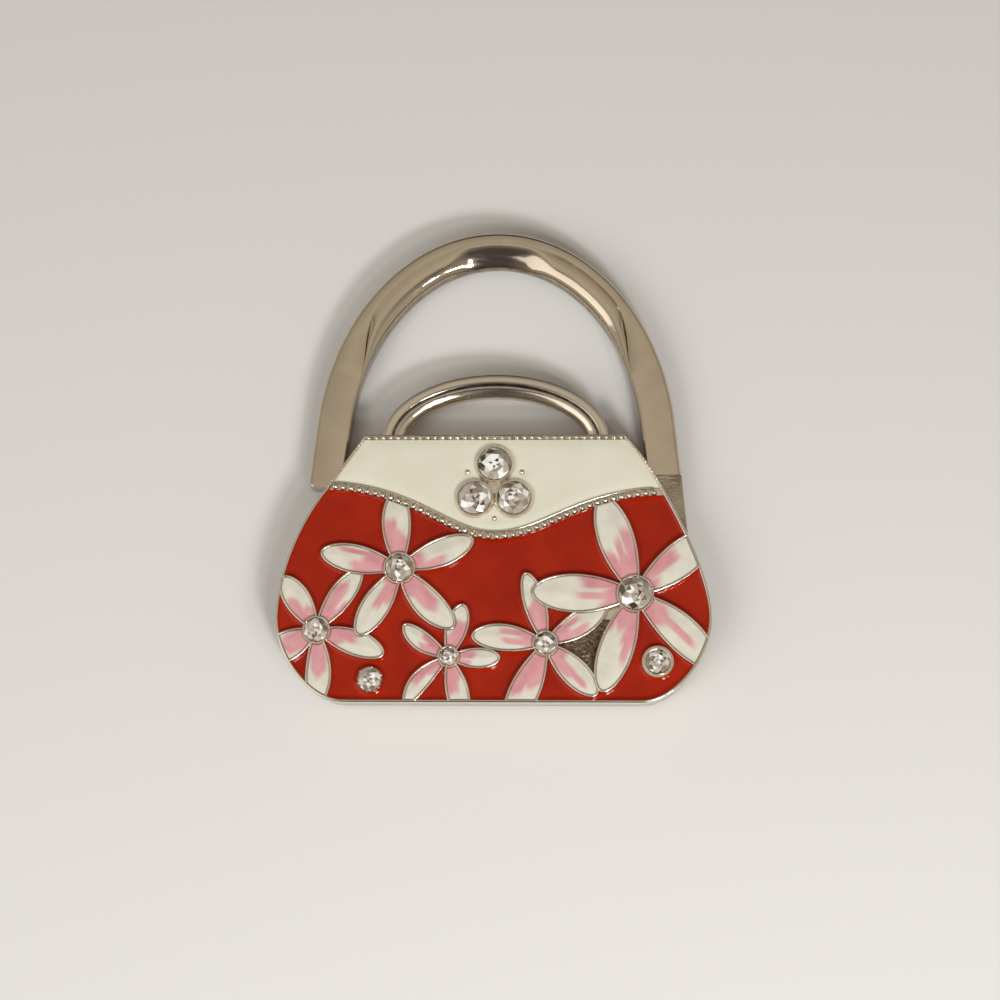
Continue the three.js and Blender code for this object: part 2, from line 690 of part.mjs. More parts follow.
// Frame casting: a tray open to the front, with the lug, the stud bosses and the leg pocket
function frameCasting() {
  const knee = backRounding * backRoundingKnee;
  const outer = stack([
    { loop: offsetLoop(outline, -frameInset - backRounding), z: padProud },
    { loop: offsetLoop(outline, -frameInset - knee), z: padProud + knee },
    { loop: offsetLoop(outline, -frameInset), z: padProud + backRounding },
    { loop: offsetLoop(outline, -frameInset), z: faceBack },
  ]);
  const hollowLoop = offsetLoop(faceOutline(hollowSteps), -frameInset);
  const inner = hollowOf(hollowLoop, frameWall, frameInside, faceBack + runPast);
  const besideLegs = (margin) => [
    block(-farAway, -legPocketX + margin, legPocketY - margin, farAway, -runPast, farAway),
    block(legPocketX - margin, farAway, legPocketY - margin, farAway, -runPast, farAway),
  ];
  const hollow = cut(inner, besideLegs(frameWall));
  const bosses = studPlaces.map(([x, y]) => disc(x, y, studRadius + studClearance + studBossWall,
    frameInside - overlap, faceBack));
  const lugRings = [jointY, lugEndY].map((y) => {
    const flare = lugFlare * (jointY - y) / (jointY - lugEndY);
    return hookRing(new THREE.Vector2(swivelX + flare / 2, y), new THREE.Vector2(1, 0), 0, -flare / 2);
  });
  const lug = toSolid(loft(lugRings, flatRing(lugRings[0])));
  const pinBore = pinHole(pinRadius + runningClearance, lugEndY - runPast, jointY + runPast);
  const swivelPocket = block(swivelX - swivelPocketHalf, swivelX + swivelPocketHalf,
    pinEndY - swivelPocketEndRoom, lugEndY, hookMiddle - swivelPocketHalf, faceBack + runPast);
  const sockets = studPlaces.map(([x, y]) => disc(x, y, studRadius + studClearance,
    faceBack - studLength - studClearance, faceBack + runPast));
  const padSeat = prism(padLoop(padClearance), -runPast, padThickness);
  return cut(joined([cut(outer, [...besideLegs(0), hollow]), ...bosses, lug]),
    [pinBore, swivelPocket, ...sockets, padSeat, smallHandle(footClearance)]);
}

function padLoop(grow) {
  const radius = padWidth / 2 + grow;
  const straight = (padLength - padWidth) / 2;
  const shape = new THREE.Shape();
  shape.absarc(straight, padCentreY, radius, -Math.PI / 2, Math.PI / 2, false);
  shape.absarc(-straight, padCentreY, radius, Math.PI / 2, 3 * Math.PI / 2, false);
  return shape.getPoints(roundSteps / 2).filter((point, index, all) => (
    point.distanceTo(all[(index + 1) % all.length]) > weldDistance));
}

// Swivel pieces, stacked down the pin from the end of the lug
const springTopY = lugEndY - stackGap;
const washerTopY = springTopY - springLength - stackGap;
const clipTopY = washerTopY - washerThickness - stackGap;
const pinEndY = clipTopY - clipThickness - stackGap - pinTail;

function pivotPin() {
  const groove = pinRadius - clipGrooveDepth;
  const grooveTop = clipTopY + stackGap / 2;
  const grooveBottom = clipTopY - clipThickness - stackGap / 2;
  return turned([[0, pinEndY], [pinRadius, pinEndY], [pinRadius, grooveBottom], [groove, grooveBottom],
    [groove, grooveTop], [pinRadius, grooveTop], [pinRadius, pinTopY], [0, pinTopY]]);
}

class Helix extends THREE.Curve {
  getPoint(share, target = new THREE.Vector3()) {
    const angle = 2 * Math.PI * springTurns * share;
    const y = springTopY - springWire - share * (springLength - 2 * springWire);
    const [across, up] = [springRadius * Math.cos(angle), springRadius * Math.sin(angle)];
    return target.set(swivelX + across, y, hookMiddle + up);
  }
}

function pivotSpring() {
  const section = new THREE.Shape();
  section.absarc(0, 0, springWire, 0, 2 * Math.PI, false);
  return new THREE.ExtrudeGeometry(new THREE.Shape(section.getPoints(springWireSteps).slice(0, -1)), {
    steps: springTurns * springStepsPerTurn, extrudePath: new Helix(), bevelEnabled: false,
  });
}

function springWasher() {
  const bore = pinRadius + runningClearance;
  return turned([[bore, washerTopY - washerThickness], [washerRadius, washerTopY - washerThickness],
    [washerRadius, washerTopY], [bore, washerTopY], [bore, washerTopY - washerThickness]]);
}

function pinClip() {
  const shape = new THREE.Shape();
  const inner = pinRadius - clipGrooveDepth + seatClearance;
  shape.absarc(0, 0, washerRadius, clipOpening / 2, 2 * Math.PI - clipOpening / 2, false);
  shape.absarc(0, 0, inner, 2 * Math.PI - clipOpening / 2, clipOpening / 2, true);
  const geometry = new THREE.ExtrudeGeometry(new THREE.Shape(shape.getPoints(roundSteps)), {
    depth: clipThickness, bevelEnabled: false,
  });
  return geometry.rotateX(Math.PI / 2).translate(swivelX, clipTopY, hookMiddle);
}

// Assembly
const object = new THREE.Group();

function place(name, shape, finish) {
  const geometry = shape.isBufferGeometry ? shape : toGeometry(shape);
  const mesh = new THREE.Mesh(geometry, new THREE.MeshStandardMaterial(finish));
  mesh.name = name;
  object.add(mesh);
}

place('face_casting', faceCasting(), plating);
place('frame_casting', frameCasting(), plating);
place('small_handle', smallHandle(0), plating);
place('swing_hook', swingHook(), plating);
place('base_pad', prism(padLoop(0), 0, padThickness), rubber);
place('pivot_pin', pivotPin(), steel);
place('pivot_spring', pivotSpring(), steel);
place('spring_washer', springWasher(), steel);
place('pin_clip', pinClip(), steel);

const flapHoles = [
  ...bezels(flapStones, fillClearance, 0, farAway),
  ...pips.map(([x, y]) => disc(x, y, pipRadius + fillClearance, 0, farAway, pipSteps)),
];
place('flap_enamel', cut(flapRegion(fillClearance, flapFloor, flapEnamelTop), flapHoles), creamEnamel);

redFields(fillClearance, pocketFloor, pocketFloor + redEnamelDepth)
  .filter(({ x, y }) => Math.hypot(x - bareField.x, y - bareField.y) > bareField.reach)
  .forEach(({ geometry }, index) => place(`red_enamel_${index + 1}`, geometry, redEnamel));

petals.forEach(({ name, flower }, index) => {
  const top = cupTop + flower.rise - petalEnamelDrop;
  place(name, petalField(index, fillClearance, pocketFloor, top).geometry, petalEnamel);
});

for (const stone of allStones) place(`stone_${stone.name}`, rhinestone(stone), crystal);

// The origin is the middle of the footprint, on the surface under the pad
const footprint = new THREE.Box3().setFromObject(object).getCenter(new THREE.Vector3());
object.position.set(-footprint.x, -footprint.y, 0);

export default object;
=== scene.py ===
import random
from math import asin, copysign, cos, dist, exp, pi, radians, sin, sqrt, tan

import bpy
import numpy as np
from mathutils import Matrix, Vector, noise
from mathutils.geometry import delaunay_2d_cdt
from numpy.linalg import norm


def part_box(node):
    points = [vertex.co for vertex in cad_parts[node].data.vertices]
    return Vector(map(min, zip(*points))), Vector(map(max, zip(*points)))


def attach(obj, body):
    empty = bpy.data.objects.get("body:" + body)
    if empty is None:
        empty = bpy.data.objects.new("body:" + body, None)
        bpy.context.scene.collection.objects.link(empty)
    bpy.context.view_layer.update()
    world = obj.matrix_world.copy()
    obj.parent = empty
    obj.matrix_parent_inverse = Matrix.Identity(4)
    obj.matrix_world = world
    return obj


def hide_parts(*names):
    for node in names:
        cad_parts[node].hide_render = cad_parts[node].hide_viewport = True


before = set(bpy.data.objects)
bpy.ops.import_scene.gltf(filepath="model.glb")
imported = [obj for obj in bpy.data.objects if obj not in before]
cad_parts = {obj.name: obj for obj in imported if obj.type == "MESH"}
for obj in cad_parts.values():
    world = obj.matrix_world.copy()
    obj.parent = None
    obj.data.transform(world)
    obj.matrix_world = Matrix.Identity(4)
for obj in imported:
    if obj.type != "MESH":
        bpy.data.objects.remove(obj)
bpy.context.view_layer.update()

random.seed(11)
MM = 0.001

# Outline of the face
FLAP_TOP_HALF = 15.7
FLAP_TOP_Y = 4.4
SHOULDER_HALF = 20.2
SHOULDER_Y = -2.0
BODY_HALF = 26.05
WIDEST_Y = -18.0
BOTTOM_HALF = 17.6
BOTTOM_Y = -28.2
LEFT_BULGE = 3.8
RIGHT_BULGE = 2.6
RIGHT_BEVEL_BULGE = 0.35
SHOULDER_RISE = 4.8
CORNER_FULLNESS = 4.4

# Places in the frame
DRAWING_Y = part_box("face_casting")[0].y / MM - BOTTOM_Y
FRAME_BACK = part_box("frame_casting")[0].z / MM
FACE_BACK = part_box("frame_casting")[1].z / MM
PAD_LOW, PAD_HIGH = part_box("base_pad")

# Levels
FLOOR = FACE_BACK + 0.6
WALL_FOOT = FLOOR - 0.1
RIM_TOP = FACE_BACK + 1.4
RED_TOP = FACE_BACK + 1.15
FLAP_TOP = FACE_BACK + 1.2
CUP_TOP = RIM_TOP + 0.2
PETAL_EDGE = CUP_TOP - 0.2
BEZEL_TOP = RIM_TOP + 0.4
GIRDLE = BEZEL_TOP - 0.15

# Rim, beads and walls
RIM_ROUNDING = 0.2
RIM_INNER = 0.36
CUP_WALL = 0.26
BEZEL_WALL = 0.28
BEAD_STRIP = 1.0
BEAD_RADIUS = 0.4
BEAD_PITCH = 0.98
TOP_STRIP = 0.62
TOP_BEAD_RADIUS = 0.31
TOP_BEAD_PITCH = 0.88
# Pitch and radius of the small beads on the flap's slanted sides
LEFT_BEADS = (0.42, 0.15)
RIGHT_BEADS = (0.48, 0.2)
CURVE_LOW_Y = -8.0
CURVE_LEFT = (5.5, 9.4, -2.3, -1.85)
CURVE_RIGHT = (6.3, 9.2, -3.1, -2.6)
ENAMEL_GAP = 0.03
FAR = 60

# Enamel meshes: pitches of their points, distances of the rows along the walls, the least area of a field,
# and how far its middle may lie from its solid's
COARSE_PITCH = 0.42
FINE_PITCH = 0.15
NEAR_STEPS = (0.07, 0.17, 0.32)
INNER_STEPS = (0.06, 0.14)
LEAST_FIELD = 0.12
FIELD_REACH = 1.5

# Swing hook and lug
ARCH_HALF = 19.9
ARCH_CENTRE_Y = 2.1
ARCH_HEIGHT = 26.2
HOOK_WIDTH = 4.2
HOOK_DEPTH = 2.8
HOOK_EDGE = 0.45
HOOK_MIDDLE = (FRAME_BACK + FACE_BACK) / 2
LEG_TOP_Y = 6.0
LEFT_LEG_END_Y = -1.7
LEG_END_RADIUS = 0.6
CROWN_FLAT = 1.25
CROWN_INNER_LEVEL = -0.25
GROOVE_DEPTH = 0.35
GROOVE_WIDTH = 0.12
GROOVE_LEFT_OVER = 0.06
GROOVE_LEFT_RIGHT = 0.12
RIDGE_INSET = 1.0
RIDGE_INSET_MIDDLE = 0.2
MIDDLE_X = 0.3
MIDDLE_HALF = 3.5
MIDDLE_FADE = 4.0
MIDDLE_FALL = 0.4
CREASE_START_Y = 13.0
CREASE_END_Y = 21.5
JOINT_Y = -0.3
JOINT_GAP = 0.06
LUG_END_Y = -8.3
LUG_FLARE = 0.8
LEG_POCKET = (17.4, -2.1)
TRAY_INSET = 0.25
TRAY_ROUNDING = 0.45
PAD_ROUNDING = 0.25

# Small handle
SMALL_HALF = 13.8
SMALL_CENTRE_Y = 4.0
SMALL_HEIGHT = 8.3
SMALL_WIDTH = 2.7
SMALL_DEPTH = 2.1
SMALL_CREASE = 1.2
SMALL_GROOVE = 0.12
SMALL_FALL = 1.3
SMALL_FOOT_Y = 1.6
SMALL_DROP = 0.15

# Flowers from the lowest to the topmost: centre, stone radius, rise, and for each petal its tip, its width
# over the walls and its bend, how far its pink ground reaches, and its further strokes as (side, reach,
# width), all in shares of the petal
FLOWERS = [
    ("lower_left", -21.0, -19.55, 1.45, 0.0, [
        ((-20.9, -28.9, 3.15, 0.3), 0.3, [(0, 0.6, 0.85)]),
        ((-27.5, -22.9, 3.7, 0.1), 0.42, [(0, 0.64, 0.95)]),
        ((-25.25, -13.0, 3.2, -0.05), 0.4, [(0.45, 0.63, 0.6)]),
        ((-15.8, -12.15, 3.0, 0.05), 0.42, [(0.25, 0.74, 0.7), (-0.7, 0.52, 0.35)]),
        ((-12.85, -22.45, 3.2, 0.15), 0.42, [(0.35, 0.58, 0.75)])]),
    ("bottom_left", -5.2, -22.75, 1.08, 0.06, [
        ((-3.5, -16.35, 2.75, 0), 0.45, [(-0.3, 0.7, 0.8)]),
        ((-10.65, -18.9, 2.45, 0.3), 0.46, [(-0.5, 0.6, 0.4), (0.4, 0.56, 0.35)]),
        ((-10.35, -28.5, 2.4, -0.55), 0.42, [(-0.4, 0.68, 0.7)]),
        ((-3.35, -30.2, 2.8, 0.1), 0.42, [(-0.3, 0.6, 0.7)]),
        ((1.0, -22.85, 2.55, -0.1), 0, [(0.3, 0.52, 0.55), (-0.45, 0.42, 0.4)])]),
    ("upper_left", -11.2, -12.05, 1.68, 0.1, [
        ((-11.75, -2.5, 3.55, 0.15), 0.48, [(0.4, 0.64, 0.6)]),
        ((-20.7, -10.05, 3.55, 0), 0.48, [(0.5, 0.6, 0.6), (-0.5, 0.78, 0.24)]),
        ((-16.1, -20.2, 3.5, 0), 0.26, [(0.3, 0.48, 0.7), (0.05, 0.6, 0.4)]),
        ((-4.6, -19.3, 3.6, -0.3), 0.44, [(0.12, 0.68, 0.75)]),
        ((-2.35, -8.45, 3.5, -0.1), 0.35, [(-0.55, 0.58, 0.5)])]),
    ("bottom_right", 6.3, -21.15, 1.32, 0.12, [
        ((1.9, -31.0, 3.7, 0.1), 0.54, [(-0.5, 0.66, 0.6)]),
        ((-2.5, -20.15, 3.35, -0.15), 0.32, [(-0.45, 0.64, 0.3), (0.2, 0.58, 0.3)]),
        ((3.85, -12.55, 2.75, -0.1), 0.6, []),
        ((13.6, -16.4, 3.15, -0.2), 0.4, [(0.4, 0.56, 0.3), (-0.45, 0.62, 0.4)]),
        ((12.45, -27.3, 3.35, 0.05), 0.36, [(-0.3, 0.6, 0.55), (-0.2, 0.8, 0.3)])]),
    ("right", 16.95, -15.15, 2.0, 0.2, [
        ((12.95, -3.25, 4.4, 0.05), 0.4, [(-0.55, 0.65, 0.38), (0, 0.54, 0.25), (0.55, 0.45, 0.4)]),
        ((4.6, -14.9, 4.75, 0.1), 0.29, [(-0.56, 0.53, 0.42), (0.12, 0.54, 0.24), (0.5, 0.34, 0.4)]),
        ((12.95, -26.95, 4.25, 0), 0.38, [(0.5, 0.54, 0.6), (0.5, 0.68, 0.3), (-0.8, 0.44, 0.35)]),
        ((26.4, -24.1, 4.3, 0.35), 0, [(-0.2, 0.4, 1), (-0.05, 0.7, 0.28)]),
        ((26.3, -7.6, 4.35, -0.15), 0.27, [(0.45, 0.58, 0.55)])]),
]
LONE_STONES = [("lone_left", -14.5, -25.5, 1.42, 0.15), ("lone_right", 19.6, -23.3, 1.42, 0.5)]
# Painted glint spots on the top flap stone, as (x, y, radius) in shares of its radius
FLAP_TOP_GLINT_SPOTS = [(-0.24, 0.02, 0.46), (0.5, -0.6, 0.2)]
FLAP_STONES = [("flap_top", 0.05, 0.7, 2.0), ("flap_left", -2.3, -3.5, 2.0), ("flap_right", 2.4, -3.5, 2.0)]
PIPS = [(-3.24, -0.2), (3.34, -0.2), (0.05, -5.9)]
PIP_RADIUS = 0.3
FLAP_SKIRT = 0.17
WEB_RADIUS = 0.85
PRONGS = 6
PRONG_TURN = 0.35
PRONG_RADIUS = 0.13
BARE_FIELD = (10.75, -21.3)
BARE_REACH = 3.2
PETAL_WAIST = 0.35
PETAL_TAPER = 0.4
PETAL_FIRST_ANGLE = 0.6
PINK_GROUND_WIDTH = 1.4

# Camera
CAMERA_TARGET = Vector((0.72, -3.66 + DRAWING_Y, 5.2)) * MM
CAMERA_DISTANCE = 340 * MM
CAMERA_TILT_X = radians(3.0)
CAMERA_TILT_Y = radians(12.5)
CAMERA_ROLL = radians(0.6)
CAMERA_LENS = 102.0

# Studio: the world's two colours, and each lamp's name, place from the target, power and size
WORLD_DARK = (0.075, 0.068, 0.068)
WORLD_LIT = (0.55, 0.5, 0.42)
LAMPS = [("key", (0.13, -0.27, 0.26), 0.65, 0.065),
         ("glint", (0.1, -0.2, 0.33), 0.14, 0.035),
         ("second", (0.2, -0.22, 0.25), 0.14, 0.025),
         ("sheen", (-0.27, -0.16, 0.32), 0.34, 0.34),
         ("soft", (-0.2, -0.24, 0.32), 0.5, 0.3)]
FLOOR_HALF = 3.0
FLOOR_COLOUR = (0.72, 0.71, 0.69, 1)
AUTO_SMOOTH = radians(38)


def bezier(points, steps):
    """Points along a Bezier curve of any degree, without the last one."""
    t = np.linspace(0, 1, steps, endpoint=False)[:, None]
    level = [np.array(p, float)[None, :] for p in points]
    while len(level) > 1:
        level = [a * (1 - t) + b * t for a, b in zip(level, level[1:])]
    return level[0]


def face_outline(steps=48):
    """The outline of the face, anticlockwise."""

    def corner(side):
        return [(side * BOTTOM_HALF, BOTTOM_Y), (side * (BOTTOM_HALF + CORNER_FULLNESS), BOTTOM_Y),
                (side * BODY_HALF, WIDEST_Y - CORNER_FULLNESS), (side * BODY_HALF, WIDEST_Y)]

    def flank(side, bulge):
        return [(side * BODY_HALF, WIDEST_Y), (side * BODY_HALF, WIDEST_Y + SHOULDER_RISE),
                (side * (SHOULDER_HALF + bulge), SHOULDER_Y - SHOULDER_RISE),
                (side * SHOULDER_HALF, SHOULDER_Y)]

    bevel = ((SHOULDER_HALF + FLAP_TOP_HALF) / 2 + RIGHT_BEVEL_BULGE,
             (SHOULDER_Y + FLAP_TOP_Y) / 2 + RIGHT_BEVEL_BULGE)
    return np.vstack([
        bezier([(-BOTTOM_HALF, BOTTOM_Y), (BOTTOM_HALF, BOTTOM_Y)], steps),
        bezier(corner(1), steps),
        bezier(flank(1, RIGHT_BULGE), steps),
        bezier([(SHOULDER_HALF, SHOULDER_Y), bevel, (FLAP_TOP_HALF, FLAP_TOP_Y)], steps // 2),
        bezier([(FLAP_TOP_HALF, FLAP_TOP_Y), (-FLAP_TOP_HALF, FLAP_TOP_Y)], steps),
        bezier([(-FLAP_TOP_HALF, FLAP_TOP_Y), (-SHOULDER_HALF, SHOULDER_Y)], steps // 2),
        bezier(flank(-1, LEFT_BULGE)[::-1], steps),
        bezier(corner(-1)[::-1], steps),
    ])


def unit(vectors):
    return vectors / np.maximum(norm(vectors, axis=1, keepdims=True), 1e-9)


def normals_of(points, closed=True):
    """Normals to the right of the way along a line, which is outwards on an anticlockwise loop."""
    before, after = np.roll(points, 1, 0), np.roll(points, -1, 0)
    if not closed:
        before[0], after[-1] = points[0], points[-1]
    a, b = points - before, after - points
    a = np.where(norm(a, axis=1, keepdims=True) < 1e-9, b, a)
    b = np.where(norm(b, axis=1, keepdims=True) < 1e-9, a, b)
    na, nb = (unit(np.stack([way[:, 1], -way[:, 0]], 1)) for way in (a, b))
    return (na + nb) / (1 + (na * nb).sum(1, keepdims=True))


def offset_loop(points, distance):
    return points + normals_of(points) * distance


def inside(points, loop):
    """Which points lie in a loop."""
    near = ((points > loop.min(0)) & (points < loop.max(0))).all(1)
    found = np.zeros(len(points), bool)
    x, y = points[near].T[:, :, None]
    (x0, y0), (x1, y1) = loop.T, np.roll(loop, -1, 0).T
    crosses = (y0 > y) != (y1 > y)
    at = x0 + (y - y0) / np.where(y1 == y0, 1e-12, y1 - y0) * (x1 - x0)
    found[near] = (crosses & (x < at)).sum(1) % 2 == 1
    return found


def distance_to(points, starts, ends):
    """Least distance of each point to a set of straight segments."""
    best = np.full(len(points), 1e9)
    for a, b in zip(starts, ends):
        d = b - a
        t = np.clip(((points - a) @ d) / max(d @ d, 1e-12), 0, 1)
        best = np.minimum(best, norm(points - (a + t[:, None] * d), axis=1))
    return best


def inset_loop(loop, distance):
    """A loop moved inwards, without the points that a tight bend folds over."""
    moved = offset_loop(loop, -distance)
    away = distance_to(moved, loop, np.roll(loop, -1, 0))
    return moved[away > 0.999 * distance]


def smooth(value):
    t = np.clip(value, 0, 1)
    return t * t * (3 - 2 * t)


# Meshes
class Shape:
    """Vertices and faces in drawing millimetres, with named values per vertex."""

    def __init__(self):
        self.verts = []
        self.faces = []
        self.slots = []
        self.values = {}

    def add(self, verts, faces, slot=0, **values):
        start = len(self.verts)
        self.verts.extend(map(tuple, verts))
        self.faces.extend(tuple(start + i for i in face) for face in faces)
        self.slots.extend([slot] * len(faces))
        for name in set(self.values) | set(values):
            column = self.values.setdefault(name, [0.0] * start)
            given = values.get(name, 0.0)
            column.extend(given if hasattr(given, "__len__") else [given] * len(verts))
        return self

    def settle(self, name, slot, materials, *nodes, body="body", flat=False):
        """Makes a piece with its materials, and hands it to its body and the nodes that it stands for. The
        slot argument is not used.
        """
        mesh = bpy.data.meshes.new(name)
        placed = [(x * MM, (y + DRAWING_Y) * MM, z * MM) for x, y, z in self.verts]
        mesh.from_pydata(placed, [], self.faces)
        for material in materials:
            mesh.materials.append(material)
        mesh.polygons.foreach_set("material_index", self.slots)
        for value, column in self.values.items():
            attribute = mesh.attributes.new(value, "FLOAT", "POINT")
            attribute.data.foreach_set("value", np.array(column, np.float32))
        mesh.validate()
        mesh.update()
        if not flat:
            mesh.polygons.foreach_set("use_smooth", [True] * len(mesh.polygons))
            mesh.set_sharp_from_angle(angle=AUTO_SMOOTH)
        piece = bpy.data.objects.new(name, mesh)
        bpy.context.scene.collection.objects.link(piece)
        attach(piece, body)
        if nodes:
            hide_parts(*nodes)


def skin(shape, rings, closed=False, slot=0, **values):
    """A skin over rings of equal point counts, with both ends capped, or closed on its first ring again."""
    count, total = len(rings[0]), len(rings)
    faces = []
    for r in range(total if closed else total - 1):
        s = (r + 1) % total
        for p in range(count):
            q = (p + 1) % count
            corners = (r * count + p, r * count + q, s * count + q, s * count + p)
            faces.append(corners[:1] + corners[:0:-1] if closed else corners)
    if not closed:
        faces.append(tuple(reversed(range(count))))
        faces.append(tuple((total - 1) * count + p for p in range(count)))
    return shape.add([p for ring in rings for p in ring], faces, slot, **values)


def levels(shape, steps, shade=0.0):
    """Outlines stacked at given levels, as (loop, z)."""
    return skin(shape, [[(x, y, z) for x, y in loop] for loop, z in steps], shade=shade)


def wall_profile(half, low, top, rounding):
    """The section of a wall with a rounded top, as (across, up)."""
    arc = [(-half + rounding - rounding * cos(a), top - rounding + rounding * sin(a))
           for a in np.linspace(0, pi / 2, 4)]
    return [(-half, low)] + arc + [(-u, w) for u, w in reversed(arc)] + [(half, low)]


def ridge(shape, path, profile, closed=False, slot=0, shade=0.0):
    """A profile swept along a flat path, with painted shade on its sides by the shade value, none on its
    top.
    """
    side = normals_of(path, closed)
    rings = [[(p[0] + n[0] * u, p[1] + n[1] * u, w) for u, w in profile] for p, n in zip(path, side)]
    top = max(w for _, w in profile)
    shades = [shade * min(1.0, (top - w) / 0.12) for _, w in profile] * len(rings)
    return skin(shape, rings, closed, slot, shade=shades)


def lathe(shape, x, y, profile, steps=48, slot=0):
    """A closed profile of (radius, z) turned about a place's own axis."""
    angles = [2 * pi * k / steps for k in range(steps)]
    rings = [[(x + r * cos(a), y + r * sin(a), z) for r, z in profile] for a in angles]
    return skin(shape, rings, True, slot)


def circle(x, y, radius, steps=64, turn=0.0):
    a = turn + 2 * np.pi * np.arange(steps) / steps
    return np.stack([x + radius * np.cos(a), y + radius * np.sin(a)], 1)


def ball(shape, x, y, z, radius, squash=1.0, rows=6, around=10):
    """A small bead."""
    verts = [(x, y, z + radius * squash)]
    for a in [pi * r / rows for r in range(1, rows)]:
        level = z + radius * squash * cos(a)
        verts += [(px, py, level) for px, py in circle(x, y, radius * sin(a), around)]
    last = len(verts)
    verts.append((x, y, z - radius * squash))
    faces = []
    for k in range(around):
        n = (k + 1) % around
        faces += [(0, 1 + k, 1 + n), (last, last - around + n, last - around + k)]
        faces += [(a + k, a + k + around, a + n + around, a + n) for a in range(1, last - around, around)]
    shape.add(verts, faces)


# Curves of the drawing
OUTLINE = face_outline()


def bead_curve(steps=60):
    """The curve of the flap's lower beads, from left to right."""
    halves = []
    for side, (crown, shoulder, bend_y, end_y) in ((-1, CURVE_LEFT), (1, CURVE_RIGHT)):
        points = [(0, CURVE_LOW_Y), (side * crown, CURVE_LOW_Y), (side * shoulder, bend_y),
                  (side * SHOULDER_HALF, end_y)]
        halves.append(np.vstack([bezier(points, steps), [points[-1]]]))
    return np.vstack([halves[0][::-1], halves[1][1:]])


BEAD_LINE = bead_curve()


def even_places(line, pitch):
    """Places at even steps along a line, half a step from its ends."""
    lengths = norm(np.diff(line, axis=0), axis=1)
    total = np.concatenate([[0], np.cumsum(lengths)])
    count = int(total[-1] / pitch)
    at = (np.arange(count) + 0.5) / count * total[-1]
    return np.stack([np.interp(at, total, axis) for axis in line.T], 1)


def petal_frame(flower, petal):
    centre = np.array(flower[1:3])
    along = np.array(petal[:2]) - centre
    across = np.array([-along[1], along[0]]) / norm(along)
    return centre, along, across


def petal_breadth(share):
    swell = PETAL_WAIST + (1 - PETAL_WAIST) * share - PETAL_TAPER * share ** 2
    return 2 * np.sqrt(share * (1 - share)) * swell


WIDEST_BREADTH = petal_breadth(np.linspace(0, 1, 50, endpoint=False)).max()


def petal_loop(flower, petal, grow=0.0, steps=44):
    """The outside of a petal's wall, or that outline grown."""
    centre, along, across = petal_frame(flower, petal)
    width, bend = petal[2:4]
    angles = PETAL_FIRST_ANGLE + (pi - PETAL_FIRST_ANGLE) * np.arange(steps) / steps
    share = (1 - np.cos(angles)) / 2
    half = width / 2 * petal_breadth(share) / WIDEST_BREADTH
    line = centre + share[:, None] * along
    shift = 4 * bend * share * (1 - share)
    sides = [line + (shift + side * half)[:, None] * across for side in (-1, 1)]
    return offset_loop(np.vstack([sides[0], [petal[:2]], sides[1][::-1]]), grow)


# Petals: flower, petal, strokes from the pink ground on, and name
PETALS = [(flower, petal, [(0.0, reach, PINK_GROUND_WIDTH)] * (reach > 0) + strokes,
           f"petal_{flower[0]}_{k + 1}")
          for flower in FLOWERS for k, (petal, reach, strokes) in enumerate(flower[5])]
# Stone settings: name, place, stone radius, wall, rise and skirt
SETTINGS = ([(*f[:4], BEZEL_WALL, f[4], 0.0) for f in FLOWERS] + [(*s, 0.0, 0.0) for s in LONE_STONES]
            + [(*s, BEZEL_WALL, 0.0, FLAP_SKIRT) for s in FLAP_STONES])
BEZELS = [(x, y, radius + wall) for _, x, y, radius, wall, _, _ in SETTINGS]


def region_beside(side):
    """The region above or below the beads, out to the rim."""
    edge = BEAD_LINE - normals_of(BEAD_LINE, False) * side * BEAD_STRIP / 2
    rest = [(FAR, edge[-1, 1]), (FAR, FAR * side), (-FAR, FAR * side)]
    loop = np.vstack([[(-FAR, edge[0, 1])], edge, rest])
    return loop if side > 0 else loop[::-1]


# Planar regions
def hex_grid(low, high, pitch):
    """Staggered grid points over a box."""
    return np.array([(x, y) for k, y in enumerate(np.arange(low[1], high[1], pitch * 0.866))
                     for x in np.arange(low[0] + (k % 2) * pitch / 2, high[0], pitch)])


def divide(loops, points):
    """Cuts the plane along loops into vertices, triangles, and the loops that hold each triangle."""
    verts, faces = [], []
    for loop in loops:
        faces.append(list(range(len(verts), len(verts) + len(loop))))
        verts.extend(Vector(p) for p in loop)
    verts.extend(Vector(p) for p in points)
    out = delaunay_2d_cdt(verts, [], faces, 1, 1e-4, True)
    xy = np.array([(v.x, v.y) for v in out[0]])
    return xy, np.array(out[2]), [set(owners) for owners in out[5]]


def groups_of(triangles):
    """Triangles that hang together through shared edges, as lists of their numbers."""
    parent = list(range(len(triangles)))

    def root(t):
        while parent[t] != t:
            parent[t] = parent[parent[t]]
            t = parent[t]
        return t

    first_at, found = {}, {}
    for t, tri in enumerate(triangles.tolist()):
        for k in range(3):
            first = first_at.setdefault(tuple(sorted((tri[k], tri[k - 2]))), t)
            parent[root(t)] = root(first)
    for t in range(len(triangles)):
        found.setdefault(root(t), []).append(t)
    return list(found.values())


def largest(triangles):
    return triangles[max(groups_of(triangles), key=len)]


def areas(xy, triangles):
    """The triangles' areas, below zero where they run clockwise."""
    (ax, ay), (bx, by), (cx, cy) = (xy[triangles[:, k]].T for k in range(3))
    return 0.5 * ((bx - ax) * (cy - ay) - (cx - ax) * (by - ay))


